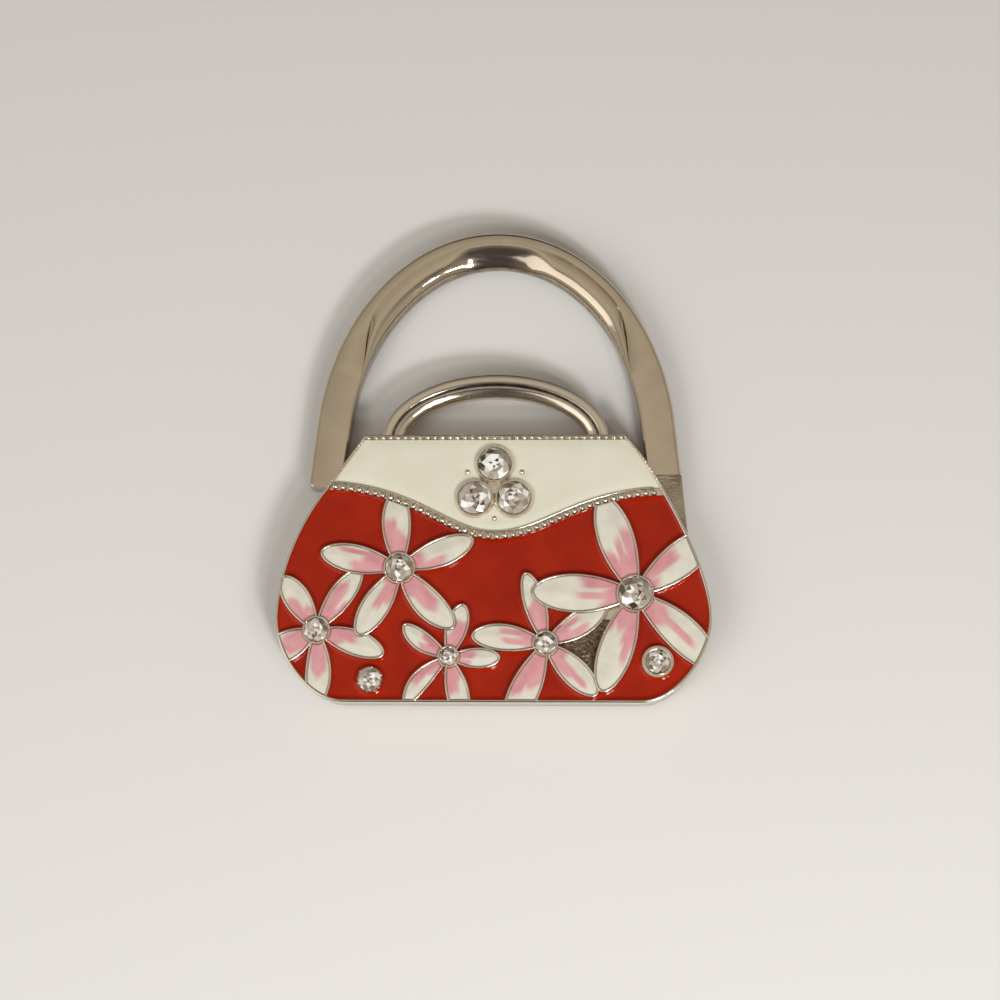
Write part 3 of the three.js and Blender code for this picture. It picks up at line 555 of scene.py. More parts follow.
def slab(shape, xy, triangles, height, shrink, **values):
    """A closed slab over flat triangles, up from the cups' floor and drawn in a little at its border.
    height and the values are functions of the places and their distances from the border."""
    used = np.unique(triangles)
    flat = xy[used]
    tris = np.searchsorted(used, triangles)
    clockwise = areas(flat, tris) <= 0
    tris[clockwise] = tris[clockwise, ::-1]
    tris = [tuple(tri) for tri in tris.tolist()]
    edges = dict.fromkeys((tri[k], tri[k - 2]) for tri in tris for k in range(3))
    border = [edge for edge in edges if edge[::-1] not in edges]
    first, second = np.array(border).T
    away = distance_to(flat, flat[first], flat[second])
    ways = flat[second] - flat[first]
    inwards = unit(np.stack([-ways[:, 1], ways[:, 0]], 1))
    push = np.zeros_like(flat)
    np.add.at(push, first, inwards)
    np.add.at(push, second, inwards)
    length = norm(push, axis=1, keepdims=True)
    flat = flat + np.where(length > 1e-6, push / np.maximum(length, 1e-6), 0) * shrink
    count = len(flat)
    verts = [(x, y, z) for (x, y), z in zip(flat, height(flat, away))] + [(x, y, FLOOR) for x, y in flat]
    faces = tris + [tuple(v + count for v in reversed(tri)) for tri in tris]
    faces += [(b, a, a + count, b + count) for a, b in border]
    return shape.add(verts, faces, **{name: np.tile(value(flat, away), 2) for name, value in values.items()})


# Materials
class Tree:
    """The nodes of a material or of the world."""

    def __init__(self, owner):
        owner.use_nodes = True
        self.nodes, self.links = owner.node_tree.nodes, owner.node_tree.links

    def noise(self, scale, detail=4.0, stretch=(1, 1, 1)):
        """A noise texture in millimetres of the frame."""
        kinds = ("ShaderNodeTexCoord", "ShaderNodeMapping", "ShaderNodeTexNoise")
        place, mapping, made = map(self.nodes.new, kinds)
        mapping.inputs["Scale"].default_value = [s / MM for s in stretch]
        made.inputs["Scale"].default_value = scale
        made.inputs["Detail"].default_value = detail
        self.links.new(place.outputs["Object"], mapping.inputs["Vector"])
        self.links.new(mapping.outputs["Vector"], made.inputs["Vector"])
        return made.outputs[0]

    def attribute(self, name):
        made = self.nodes.new("ShaderNodeAttribute")
        made.attribute_name = name
        return made.outputs["Fac"]

    def spread(self, source, low, high, to_low=0.0, to_high=1.0):
        """Maps a value's range onto another."""
        made = self.nodes.new("ShaderNodeMapRange")
        for name, value in (("From Min", low), ("From Max", high), ("To Min", to_low), ("To Max", to_high)):
            made.inputs[name].default_value = value
        self.links.new(source, made.inputs["Value"])
        return made.outputs["Result"]

    def maths(self, operation, *sources):
        made = self.nodes.new("ShaderNodeMath")
        made.operation = operation
        for source, socket in zip(sources, made.inputs):
            self.links.new(source, socket)
        return made.outputs[0]

    def mixed(self, factor, first, second):
        """A colour between two, each a colour or a socket."""
        made = self.nodes.new("ShaderNodeMix")
        made.data_type = "RGBA"
        for socket, value in zip([i for i in made.inputs if i.type == "RGBA"], (first, second)):
            if isinstance(value, tuple):
                socket.default_value = (*value, 1)
            else:
                self.links.new(value, socket)
        self.links.new(factor, made.inputs[0])
        return [o for o in made.outputs if o.type == "RGBA"][0]

    def clouded(self, scale, detail, light, dark, low=0.3):
        """A colour that drifts between two."""
        return self.mixed(self.spread(self.noise(scale, detail), low, 0.7), light, dark)


class Surface(Tree):
    """A material in the making."""

    def __init__(self, name, roughness, metallic=0.0, **sockets):
        self.material = bpy.data.materials.new(name)
        super().__init__(self.material)
        self.inputs = self.nodes["Principled BSDF"].inputs
        self.inputs["Roughness"].default_value = roughness
        self.inputs["Metallic"].default_value = metallic
        for socket, value in sockets.items():
            self.inputs[socket.replace("_", " ")].default_value = value

    def paint(self, colour):
        self.links.new(colour, self.inputs["Base Color"])

    def roughen(self, source):
        self.links.new(source, self.inputs["Roughness"])

    def bump(self, height, distance):
        """Bumps of a depth in millimetres."""
        made = self.nodes.new("ShaderNodeBump")
        made.inputs["Distance"].default_value = distance * MM
        self.links.new(height, made.inputs["Height"])
        self.links.new(made.outputs["Normal"], self.inputs["Normal"])


def plating_material(name, light, dark, rough=(0.06, 0.15), grain=0.0):
    """Polished plating with faint waves and wipe marks, darkened to brown where the shade value says so:
    painted shade in creases, grooves, gaps and on side walls, and the bare field's dark floor.
    """
    surface = Surface(name, 0.16, 1.0)
    colour = surface.clouded(0.35, 3, light, dark)
    uneven = surface.spread(surface.noise(1.1), 0.25, 0.6, 0.55, 1.0)
    # The mottled shade value mixes in the brown: painted shade, and the bare field's dark floor
    shade_and_tarnish_mask = surface.maths("MULTIPLY", surface.attribute("shade"), uneven)
    surface.paint(surface.mixed(shade_and_tarnish_mask, colour, SHADE_AND_TARNISH))
    surface.roughen(surface.spread(surface.noise(1.4, 6, (0.35, 1.6, 1)), 0.3, 0.75, *rough))
    surface.bump(surface.noise(5.0 if grain else 1.2), 0.006 + grain)
    return surface.material


def enamel_material(name, light, dark, specular):
    """Glossy enamel, poured slightly unevenly."""
    surface = Surface(name, 0.07, Specular_IOR_Level=specular)
    colour = surface.clouded(0.22, 4, light, dark)
    specks = surface.spread(surface.noise(6.0, 3), 0.62, 0.8, 0.0, 0.12)
    surface.paint(surface.mixed(specks, colour, dark))
    surface.bump(surface.noise(0.5, 2), 0.02)
    return surface.material


def petal_material():
    """White enamel with brushed pink where the pink value says so, and a painted shadow where the shade
    value says so.
    """
    surface = Surface("petal_enamel", 0.09, Specular_IOR_Level=0.45)
    ground = surface.clouded(0.5, 4, PETAL_WHITE, PETAL_SHADE, 0.35)
    paint = surface.clouded(0.6, 3, PETAL_PINK, PETAL_DEEP_PINK, 0.35)
    colour = surface.mixed(surface.attribute("pink"), ground, paint)
    surface.paint(surface.mixed(surface.attribute("shade"), colour, PETAL_EDGE_SHADOW))
    surface.bump(surface.noise(0.8, 2), 0.02)
    return surface.material


def stone_material():
    """Cut facets over foil, each tinted by a per-facet value: painted reflections, from dark facets through
    greys to white painted glints.
    """
    surface = Surface("crystal", 0.06, 0.15, Coat_Weight=1.0, Coat_Roughness=0.02)
    ramp = surface.nodes.new("ShaderNodeValToRGB")
    stops = ramp.color_ramp.elements
    for stop, (position, colour) in zip(stops, (FACET_REFLECTION_TINTS[0], FACET_REFLECTION_TINTS[-1])):
        stop.position, stop.color = position, (*colour, 1)
    for position, colour in FACET_REFLECTION_TINTS[1:-1]:
        stops.new(position).color = (*colour, 1)
    surface.links.new(surface.attribute("tint"), ramp.inputs[0])
    warm = surface.spread(surface.noise(1.2, 2), 0.55, 0.75, 0.0, 0.3)
    surface.paint(surface.mixed(warm, ramp.outputs["Color"], WARM_TINT))
    return surface.material


def plain_material(name, light, dark, grain, rough, depth, metallic=0.0):
    """Turned steel or rubber: one noise moves its colour and its roughness."""
    surface = Surface(name, 0.5, metallic)
    cloud = surface.noise(*grain)
    surface.paint(surface.mixed(surface.spread(cloud, 0.3, 0.7), light, dark))
    surface.roughen(surface.spread(cloud, 0.3, 0.7, *rough))
    surface.bump(cloud if metallic else surface.noise(4.0, 6), depth)
    return surface.material


# Brown of the painted shade in creases, grooves, gaps and on side walls, and of the bare field's dark floor
SHADE_AND_TARNISH = (0.10, 0.055, 0.028)
PETAL_WHITE, PETAL_SHADE = (0.71, 0.68, 0.575), (0.625, 0.595, 0.51)
PETAL_PINK, PETAL_DEEP_PINK = (0.66, 0.285, 0.31), (0.6, 0.23, 0.26)
# Colour of the painted shadow along each petal's wall
PETAL_EDGE_SHADOW = (0.12, 0.1, 0.09)
# Ramp of painted reflections on the facets, from dark through greys to a white painted glint
FACET_REFLECTION_TINTS = [(0.0, (0.02, 0.016, 0.012)), (0.16, (0.17, 0.12, 0.08)), (0.42, (0.37, 0.32, 0.255)),
               (0.8, (0.62, 0.57, 0.5)), (1.0, (1.0, 0.99, 0.97))]
WARM_TINT = (0.6, 0.46, 0.28)
plating = plating_material("nickel_plating", (0.70, 0.60, 0.475), (0.645, 0.55, 0.43))
bright = plating_material("bright_plating", (0.82, 0.74, 0.62), (0.76, 0.68, 0.57), (0.1, 0.2))
satin = plating_material("satin_plating", (0.87, 0.785, 0.67), (0.79, 0.705, 0.59), (0.17, 0.3))
casting = plating_material("plated_casting", (0.52, 0.44, 0.34), (0.26, 0.19, 0.13), (0.25, 0.5), 0.12)
red_enamel = enamel_material("red_enamel", (0.35, 0.015, 0.001), (0.275, 0.009, 0.001), 0.22)
cream_enamel = enamel_material("cream_enamel", (0.745, 0.722, 0.595), (0.705, 0.68, 0.55), 0.42)
petal_enamel = petal_material()
crystal = stone_material()
steel = plain_material("steel", (0.5, 0.5, 0.51), (0.62, 0.61, 0.6), grain=(2.0, 5, (0.3, 4, 0.3)),
                       rough=(0.22, 0.4), depth=0.01, metallic=1.0)
rubber = plain_material("pad_rubber", (0.016, 0.016, 0.018), (0.035, 0.034, 0.034), grain=(0.8, 6),
                        rough=(0.65, 0.9), depth=0.05)


# Swing hook
ARCH_START = asin((LEG_TOP_Y - ARCH_CENTRE_Y) / ARCH_HEIGHT)


def leg_x(y):
    """How far out a leg's middle line is: the legs run straight on from the arch."""
    slope = ARCH_HALF * sin(ARCH_START) / (ARCH_HEIGHT * cos(ARCH_START))
    return ARCH_HALF * cos(ARCH_START) + (LEG_TOP_Y - y) * slope


def hook_section(roundness, end=0.0, along=1.0, right=0.0, corner=5, crown=18):
    """The hook's section as (outwards, up, shade). Roundness 0 is the flat leg. Roundness 1 is the crown,
    where the groove fades, and the ridge falls from the flat facet's edge at the middle, along 0."""
    half, deep, r = HOOK_WIDTH / 2 - end, HOOK_DEPTH / 2, HOOK_EDGE

    def blend(flat, full):
        return flat * (1 - roundness) + full * roundness

    crease = blend(-half + r, half - CROWN_FLAT)
    groove = crease - blend(0.03, GROOVE_WIDTH)
    ridge_top = crease - blend(0.06, RIDGE_INSET_MIDDLE + (RIDGE_INSET - RIDGE_INSET_MIDDLE) * along)
    inner = blend(deep - r, CROWN_INNER_LEVEL)
    faded = float(smooth((roundness - 0.5) / 0.5))
    left_over = (GROOVE_LEFT_OVER + GROOVE_LEFT_RIGHT * right) * along
    drop = GROOVE_DEPTH * min(1.0, 1.5 * roundness) * (1 - faded * (1 - left_over))
    fall = MIDDLE_FALL * (1 - along)

    def arc(u, w, start, dark=0.0):
        return [(u + r * cos(a), w + r * sin(a), dark)
                for a in (start + pi / 2 * k / corner for k in range(corner + 1))]

    # The third values are painted shade: dark on the lower corners, darkest in the groove, and dark on the
    # steep inner side.
    points = arc(half - r, -deep + r, -pi / 2, 0.6) + arc(half - r, deep - r, 0)
    points += [(crease + 0.1 * roundness, deep, 0.0), (crease, deep - 0.08 * drop, 0.6),
               (groove, deep - drop, 1.0)]
    points += [(ridge_top + (groove - ridge_top) * t, deep - drop * t ** 1.8, max(0.0, (t - 0.7) * 2))
               for t in (0.88, 0.7, 0.5, 0.3, 0.12)]
    for a in (pi / 2 * k / crown for k in range(crown + 1)):
        down = (1 - fall) * (1 - cos(a)) + fall * sin(a)
        points.append((ridge_top - (ridge_top + half) * sin(a), deep - (deep - inner) * down,
                       0.8 * float(smooth((a - 0.95) / 0.5))))
    return points + arc(-half + r, -deep + r, pi, 0.8)


def section_ring(centre, outward, section, level=HOOK_MIDDLE):
    return [(centre[0] + outward[0] * u, centre[1] + outward[1] * u, level + w) for u, w, _ in section]


def on_arch(half, height, centre_y, angle):
    """A place on an elliptic arch, and the way outwards there."""
    outward = np.array([cos(angle) / half, sin(angle) / height])
    return (half * cos(angle), centre_y + height * sin(angle)), outward / norm(outward)


def swing_hook():
    """The big arch, from the left leg's end over the crown to the swivel."""
    rings, shades = [], []

    def put(centre, outward, roundness=0.0, end=0.0):
        along = float(smooth((abs(centre[0] - MIDDLE_X) - MIDDLE_HALF) / MIDDLE_FADE))
        on_right = centre[0] > 0
        section = hook_section(roundness, end, along, float(on_right))
        rings.append(section_ring(centre, outward, section))
        # Painted shade on the top: strongest in the groove where the crease begins, faint on the crown, and
        # a thin line on the crown's right; below the top the section's painted shade counts in full.
        top_shade = 0.1 + 0.9 * exp(-((roundness - 0.2) / 0.3) ** 2) if roundness > 0 else 0.0
        top_shade = max(top_shade, 0.7 * along * on_right * (roundness > 0.5))
        shades.extend(shade * (top_shade if w > HOOK_DEPTH / 2 - 0.5 and u > -HOOK_WIDTH / 2 + 0.1 else 1.0)
                      for u, w, shade in section)

    for share in np.linspace(0, 1, 8):
        y = LEFT_LEG_END_Y + LEG_END_RADIUS * share
        put((-leg_x(y), y), (-1, 0), end=LEG_END_RADIUS * (1 - sqrt(1 - (1 - share) ** 2)))
    for y in np.linspace(LEFT_LEG_END_Y + LEG_END_RADIUS, LEG_TOP_Y, 8)[1:-1]:
        put((-leg_x(y), y), (-1, 0))
    for angle in np.linspace(pi - ARCH_START, ARCH_START, 150):
        centre, outward = on_arch(ARCH_HALF, ARCH_HEIGHT, ARCH_CENTRE_Y, angle)
        put(centre, outward, float(smooth((centre[1] - CREASE_START_Y) / (CREASE_END_Y - CREASE_START_Y))))
    for y in np.linspace(LEG_TOP_Y, JOINT_Y + JOINT_GAP, 8)[1:]:
        put((leg_x(y), y), (1, 0))
    shape = skin(Shape(), rings, shade=shades)
    shape.settle("hook_arch", "nickel_plating", [plating], "swing_hook", body="hook")


# Small handle
def small_handle():
    """The thin fixed arch with its flat outer band, its groove and its rounded inner half."""
    half = SMALL_WIDTH / 2
    start = asin((SMALL_FOOT_Y - SMALL_CENTRE_Y) / SMALL_HEIGHT)
    top = FACE_BACK - SMALL_DROP
    bottom, crease = top - SMALL_DEPTH, half - SMALL_CREASE
    ridge_edge = crease - SMALL_GROOVE
    # The third values are painted shade: darkest in the groove, faint where the rounded half starts.
    section = [(half - 0.25, bottom, 0), (half - 0.07, bottom + 0.07, 0), (half, bottom + 0.25, 0),
               (half, top - 0.22, 0), (half - 0.06, top - 0.06, 0), (half - 0.2, top, 0),
               (crease + 0.1, top, 0.1), (crease + 0.03, top - 0.05, 0.8), (crease - 0.04, top - 0.16, 1.0),
               (ridge_edge, top - 0.12, 0.8)]
    for angle in np.linspace(0.25, pi / 2, 10):
        section.append((ridge_edge - (ridge_edge + half) * sin(angle) ** 1.2,
                        top - SMALL_FALL + SMALL_FALL * cos(angle) ** 0.8, 0.0 if angle > 0.4 else 0.3))
    section += [(-half, bottom + 0.25, 0), (-half + 0.07, bottom + 0.07, 0), (-half + 0.25, bottom, 0)]
    places = [on_arch(SMALL_HALF - half, SMALL_HEIGHT - half, SMALL_CENTRE_Y, angle)
              for angle in np.linspace(pi - start, start, 110)]
    rings = [section_ring(*place, section, 0.0) for place in places]
    shape = skin(Shape(), rings, shade=[shade for _, _, shade in section] * len(rings))
    shape.settle("handle_arch", "nickel_plating", [bright], "small_handle")


# Frame casting
def notched_outline(inset):
    """The frame's outline with the two corners that the hook's legs lie in."""
    loop = offset_loop(OUTLINE, -inset)
    px, py = LEG_POCKET
    points = []
    for point, following in zip(loop, np.roll(loop, -1, 0)):
        leaves, enters = (abs(p[0]) > px and p[1] > py for p in (point, following))
        if not leaves:
            points.append(point)
        if leaves != enters:
            corner = np.array([copysign(px, point[0]), py])
            axis = 1 if (point[1] > py) != (following[1] > py) else 0
            t = (corner[axis] - point[axis]) / (following[axis] - point[axis])
            points.append(point + t * (following - point))
            if enters:
                points.append(corner)
    return np.array(points)


def tray(shape, loop, rounding, low, high, steps, shade=0.0):
    """A solid with upright sides and a rounded lower edge."""
    arcs = np.linspace(0, pi / 2, steps)
    stack = [(offset_loop(loop, -rounding * (1 - sin(a))), low + rounding * (1 - cos(a))) for a in arcs]
    return levels(shape, stack + [(loop, high)], shade)


def frame_casting():
    """The tray behind the face with its rounded back edge, and the lug of the swivel."""
    # The whole tray takes painted shade (shade value 0.35), darkening its sides.
    shape = tray(Shape(), notched_outline(TRAY_INSET), TRAY_ROUNDING, FRAME_BACK, FACE_BACK - 0.02, 6, 0.35)
    rings = []
    for share in np.linspace(0, 1, 24):
        half_flare = LUG_FLARE * share / 2
        place = (leg_x(JOINT_Y) + half_flare, JOINT_Y + (LUG_END_Y - JOINT_Y) * share)
        rings.append(section_ring(place, (1, 0), hook_section(0, -half_flare)))
    skin(shape, rings[::-1], slot=1)
    shape.settle("frame_shell", "nickel_plating", [plating, casting], "frame_casting")


# Face casting
def inside_any(points, loops):
    hit = np.zeros(len(points), bool)
    for loop in loops:
        hit |= inside(points, loop)
    return hit


def visible_runs(path, hidden):
    """The stretches of a closed path that aren't hidden, each one sample longer at both ends."""
    if not hidden.any():
        return [(path, True)]
    count, runs, current = len(path), [], []
    first = int(np.argmax(hidden))
    for k in [(first + step) % count for step in range(count + 1)]:
        if not hidden[k]:
            current.append(k)
        elif current:
            runs.append((path[[current[0] - 1] + current + [(current[-1] + 1) % count]], False))
            current = []
    return runs


def bead_row(shape, line, pitch, down, level, radius, sizes, squash, rows, around):
    """Beads at even steps along a line, moved down from it, each of its own size about the radius."""
    for x, y in even_places(line, pitch):
        ball(shape, x, y - down, level, radius * random.uniform(*sizes), squash, rows, around)


def face_casting():
    """The rim, the beads, the petals' cups, the settings, the pips and the bare field's floor."""
    shape = Shape()
    outer = [(-0.12, FACE_BACK), (-0.03, FACE_BACK + 0.03), (0, FACE_BACK + 0.12)]
    outer += [(-RIM_ROUNDING * (1 - cos(a)), RIM_TOP - RIM_ROUNDING * (1 - sin(a)))
              for a in np.linspace(0, pi / 2, 6)]
    outer += [(-RIM_INNER + 0.08, RIM_TOP), (-RIM_INNER + 0.02, RIM_TOP - 0.03), (-RIM_INNER, RIM_TOP - 0.1),
              (-RIM_INNER, FLOOR)]
    levels(shape, [(offset_loop(OUTLINE, offset), z) for offset, z in outer])

    strip = wall_profile(BEAD_STRIP / 2 - 0.03, WALL_FOOT, RIM_TOP - 0.22, 0.1)
    # Painted shade on the strip under the beads, darkening the gaps between them.
    ridge(shape, BEAD_LINE[2:-2], [(u, w - 0.16) for u, w in strip], slot=2, shade=0.5)
    flap_edge = BEAD_LINE - normals_of(BEAD_LINE, False) * (BEAD_STRIP / 2 - 0.06)
    ridge(shape, flap_edge[2:-2], wall_profile(0.09, WALL_FOOT, RIM_TOP + 0.06, 0.07))
    bead_row(shape, BEAD_LINE[1:-1], BEAD_PITCH, 0.1, RIM_TOP - 0.06, BEAD_RADIUS, (0.95, 1.08), 0.95, 8, 14)
    top_y = FLAP_TOP_Y - TOP_STRIP / 2
    top_line = np.array([(x, top_y) for x in np.linspace(-FLAP_TOP_HALF, FLAP_TOP_HALF, 80)])
    top_strip = wall_profile(TOP_STRIP / 2 - 0.04, WALL_FOOT, RIM_TOP - 0.3, 0.08)
    # The strip under the top beads takes the darker casting and painted shade, so the gaps between the beads
    # read dark.
    ridge(shape, top_line[1:-1], top_strip, slot=1, shade=0.6)
    bead_row(shape, top_line, TOP_BEAD_PITCH, 0.06, RIM_TOP, TOP_BEAD_RADIUS, (0.9, 1.06), 0.9, 8, 14)
    left = np.array([(-SHOULDER_HALF, SHOULDER_Y), (-FLAP_TOP_HALF, FLAP_TOP_Y)])
    right = OUTLINE[(OUTLINE[:, 0] > FLAP_TOP_HALF - 0.1) & (OUTLINE[:, 1] > SHOULDER_Y - 0.1)]
    for line, pitch, radius in ((left + (0.14, 0), *LEFT_BEADS), (right - (0.16, 0), *RIGHT_BEADS)):
        bead_row(shape, line, pitch, 0.1, RIM_TOP - 0.02, radius, (0.85, 1.1), 0.9, 6, 10)

    below = region_beside(-1)
    rim_line = offset_loop(OUTLINE, -RIM_INNER + 0.06)
    for index, (flower, petal, _, _) in enumerate(PETALS):
        path = inset_loop(petal_loop(flower, petal, 0, 60), CUP_WALL / 2)
        over = [petal_loop(f, p, -0.04) for f, p, _, _ in PETALS[index + 1:]]
        hidden = inside_any(path, over + [circle(x, y, r - 0.1) for x, y, r in BEZELS])
        hidden |= ~inside(path, below) | ~inside(path, rim_line)
        wall = wall_profile(CUP_WALL / 2, WALL_FOOT, CUP_TOP + flower[4], 0.1)
        for run, closed in visible_runs(path, hidden):
            if len(run) > 3:
                # Painted shade on the walls' sides.
                ridge(shape, run, wall, closed, 2, 0.35)
    for setting in SETTINGS:
        bezel(shape, *setting[1:])
    for x, y in PIPS:
        ball(shape, x, y, FLAP_TOP - 0.02, PIP_RADIUS, 0.7, 8, 16)
    web = np.mean([(x, y) for _, x, y, _ in FLAP_STONES], 0)
    post = [(0.01, FLOOR), (WEB_RADIUS, FLOOR), (WEB_RADIUS, BEZEL_TOP - 0.16), (0.01, BEZEL_TOP - 0.12)]
    lathe(shape, *web, post, 24, 2)
    bare_patch(shape)
    shape.settle("face_relief", "nickel_plating", [bright, casting, satin], "face_casting")


def bezel(shape, x, y, radius, wall, rise, skirt):
    """A stone's setting: an upright wall whose lip leans in over the girdle. A wide one has a dished rim."""
    top = BEZEL_TOP + rise
    outer = radius + wall
    if wall > BEZEL_WALL:
        dip = top - 0.34
        profile = [(outer, WALL_FOOT), (outer, top - 0.24), (outer - 0.04, top - 0.14),
                   (outer - 0.1, top - 0.14), (outer - 0.16, dip), (radius + 0.18, dip),
                   (radius + 0.12, top - 0.08)]
    elif skirt:
        wide = outer + skirt
        profile = [(wide, WALL_FOOT), (wide, FLAP_TOP + 0.1), (wide - 0.05, FLAP_TOP + 0.2),
                   (outer + 0.02, top - 0.24)]
    else:
        profile = [(outer, WALL_FOOT), (outer, top - 0.22)]
    if wall <= BEZEL_WALL:
        profile += [(outer - 0.03, top - 0.1), (outer - 0.09, top - 0.02)]
    profile += [(radius + min(wall, BEZEL_WALL) * 0.35, top), (radius + 0.02, top - 0.03),
                (radius, top - 0.1), (radius + 0.02, GIRDLE + rise - 0.3), (radius + 0.02, WALL_FOOT)]
    lathe(shape, x, y, profile, 64, 2)
    if wall <= BEZEL_WALL and not skirt:
        for px, py in circle(x, y, radius + 0.05, PRONGS, PRONG_TURN):
            ball(shape, px, py, top - 0.02, PRONG_RADIUS, 0.9, 6, 10)


def bare_patch(shape):
    """The rough floor of the one field that holds no enamel."""
    count = 65
    steps = np.linspace(-BARE_REACH, BARE_REACH, count)
    verts = []
    for y in BARE_FIELD[1] + steps:
        for x in BARE_FIELD[0] + steps:
            coarse = noise.noise(Vector((x * 3.1, y * 3.1, 0)))
            fine = noise.noise(Vector((x * 7.3, y * 7.3, 4)))
            verts.append((x, y, FLOOR + 0.12 + 0.12 * (coarse + 0.6 * fine)))
    faces = [(a, a + 1, a + count + 1, a + count) for j in range(count - 1)
             for a in range(j * count, j * count + count - 1)]
    shape.add(verts, faces, 1, shade=0.75)


# Enamel
def enamel():
    """Cuts the face along all its walls, and fills each field."""
    rim = offset_loop(OUTLINE, -RIM_INNER)
    top_y = FLAP_TOP_Y - TOP_STRIP
    top_cut = np.array([(-FAR, top_y), (FAR, top_y), (FAR, FAR), (-FAR, FAR)])
    inner = [inset_loop(petal_loop(f, p), CUP_WALL) for f, p, _, _ in PETALS]
    walls = [petal_loop(f, p) for f, p, _, _ in PETALS]
    loops = [rim, region_beside(-1), region_beside(1), top_cut] + inner + walls
    loops += [circle(*b) for b in BEZELS] + [circle(x, y, PIP_RADIUS, 24) for x, y in PIPS]
    in_rim, below, above, in_top, first_inner = range(5)
    first_wall = first_inner + len(PETALS)
    first_ring = first_wall + len(PETALS)
    blocked = set(range(first_ring, len(loops)))

    low, high = OUTLINE.min(0), OUTLINE.max(0)
    coarse = hex_grid(low, high, COARSE_PITCH)
    fine = hex_grid(low, (high[0], SHOULDER_Y), FINE_PITCH)
    near = [offset_loop(loop, d) for loop in walls for d in NEAR_STEPS]
    near += [offset_loop(loop, -d) for loop in inner for d in INNER_STEPS]
    near += [offset_loop(rim, -d) for d in NEAR_STEPS]
    near += [circle(x, y, r + d) for x, y, r in BEZELS for d in NEAR_STEPS]
    points = np.vstack([coarse[~inside_any(coarse, walls)], fine[inside_any(fine, inner)]] + near)
    xy, triangles, owners = divide(loops, points[inside(points, rim)])

    def held(by, without):
        """The triangles that lie in all the loops of one set, and in none of another."""
        return triangles[[t for t, o in enumerate(owners) if by <= o and not o & without]]

    for index, (flower, petal, strokes, name) in enumerate(PETALS):
        later = set(range(first_wall + index + 1, first_ring))
        field = largest(held({in_rim, below, first_inner + index}, later | blocked))
        petal_field(name, flower, petal, strokes, xy, field)
    red_fields(xy, held({in_rim, below}, set(range(first_wall, first_ring)) | blocked))
    flap_field(xy, largest(held({in_rim, above}, {in_top} | blocked)))


def petal_field(name, flower, petal, strokes, xy, triangles):
    """One petal's enamel, crowned, with its pink strokes and a painted shadow along its wall."""
    centre, along, across = petal_frame(flower, petal)
    length, half = norm(along), petal[2] / 2
    phase = (flower[1] * 1.7 + petal[0] * 0.9) % 6.28

    def height(flat, away):
        meniscus = 0.05 * (1 - np.exp(-away / 0.08))
        return PETAL_EDGE + flower[4] + 0.16 * smooth(away / (half * 0.95)) + meniscus

    def pink(flat, away):
        local = flat - centre
        share = (local @ along) / length ** 2
        side = (local @ across) / half - 4 * petal[3] / half * share * (1 - share)
        wobble = 0.02 * np.sin(side * 7 + phase) + 0.007 * np.sin(side * 19 + 2 * phase)
        amount = np.zeros(len(flat))
        for at, reach, width in strokes:
            lateral = smooth((1 - np.abs(side - at) / width) / 0.55)
            ends = smooth((reach + wobble - share - 0.16 * (side - at) ** 2) / 0.13 + 0.5)
            amount = np.maximum(amount, lateral * ends)
        return 0.97 * amount * (0.93 + 0.07 * np.sin(side * 5 + share * 7 + phase))

    # Painted shadow in the narrow strip beside the wall
    def edge_shadow(flat, away):
        return 0.55 * np.exp(-away / 0.045)

    shape = slab(Shape(), xy, triangles, height, ENAMEL_GAP, pink=pink, shade=edge_shadow)
    shape.settle(name.replace("petal", "enamel_petal"), "petal_enamel", [petal_enamel], name)


def red_fields(xy, triangles):
    """The red enamel, each field under the name of the solid that it stands for."""

    def height(flat, away):
        return RED_TOP + 0.17 * (1 - smooth(away / 0.42))

    fields = []
    for part in groups_of(triangles):
        chosen = triangles[part]
        used = xy[np.unique(chosen)]
        middle = (used.min(0) + used.max(0)) / 2
        area = np.abs(areas(xy, chosen)).sum()
        if area >= LEAST_FIELD and dist(middle, BARE_FIELD) >= FIELD_REACH:
            fields.append((chosen, middle, area))
    named = {}
    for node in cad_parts:
        if node.startswith("red_enamel"):
            centre = np.array(sum(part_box(node), Vector()).xy) / 2 / MM - (0, DRAWING_Y)
            near = [k for k, (_, middle, _) in enumerate(fields) if dist(centre, middle) < FIELD_REACH]
            if near:
                named[max(near, key=lambda k: fields[k][2])] = node
    corners = Shape()
    for k, (chosen, _, _) in enumerate(fields):
        field = slab(Shape() if k in named else corners, xy, chosen, height, ENAMEL_GAP / 2)
        if k in named:
            field.settle(named[k].replace("red_enamel", "red_field"), "red_enamel", [red_enamel], named[k])
    if corners.verts:
        corners.settle("red_corners", "red_enamel", [red_enamel])


def flap_field(xy, triangles):
    def height(flat, away):
        return FLAP_TOP + 0.1 * smooth(away / 1.2) + 0.03 * (1 - np.exp(-away / 0.1))

    shape = slab(Shape(), xy, triangles, height, ENAMEL_GAP / 2)
    shape.settle("flap_field", "cream_enamel", [cream_enamel], "flap_enamel")


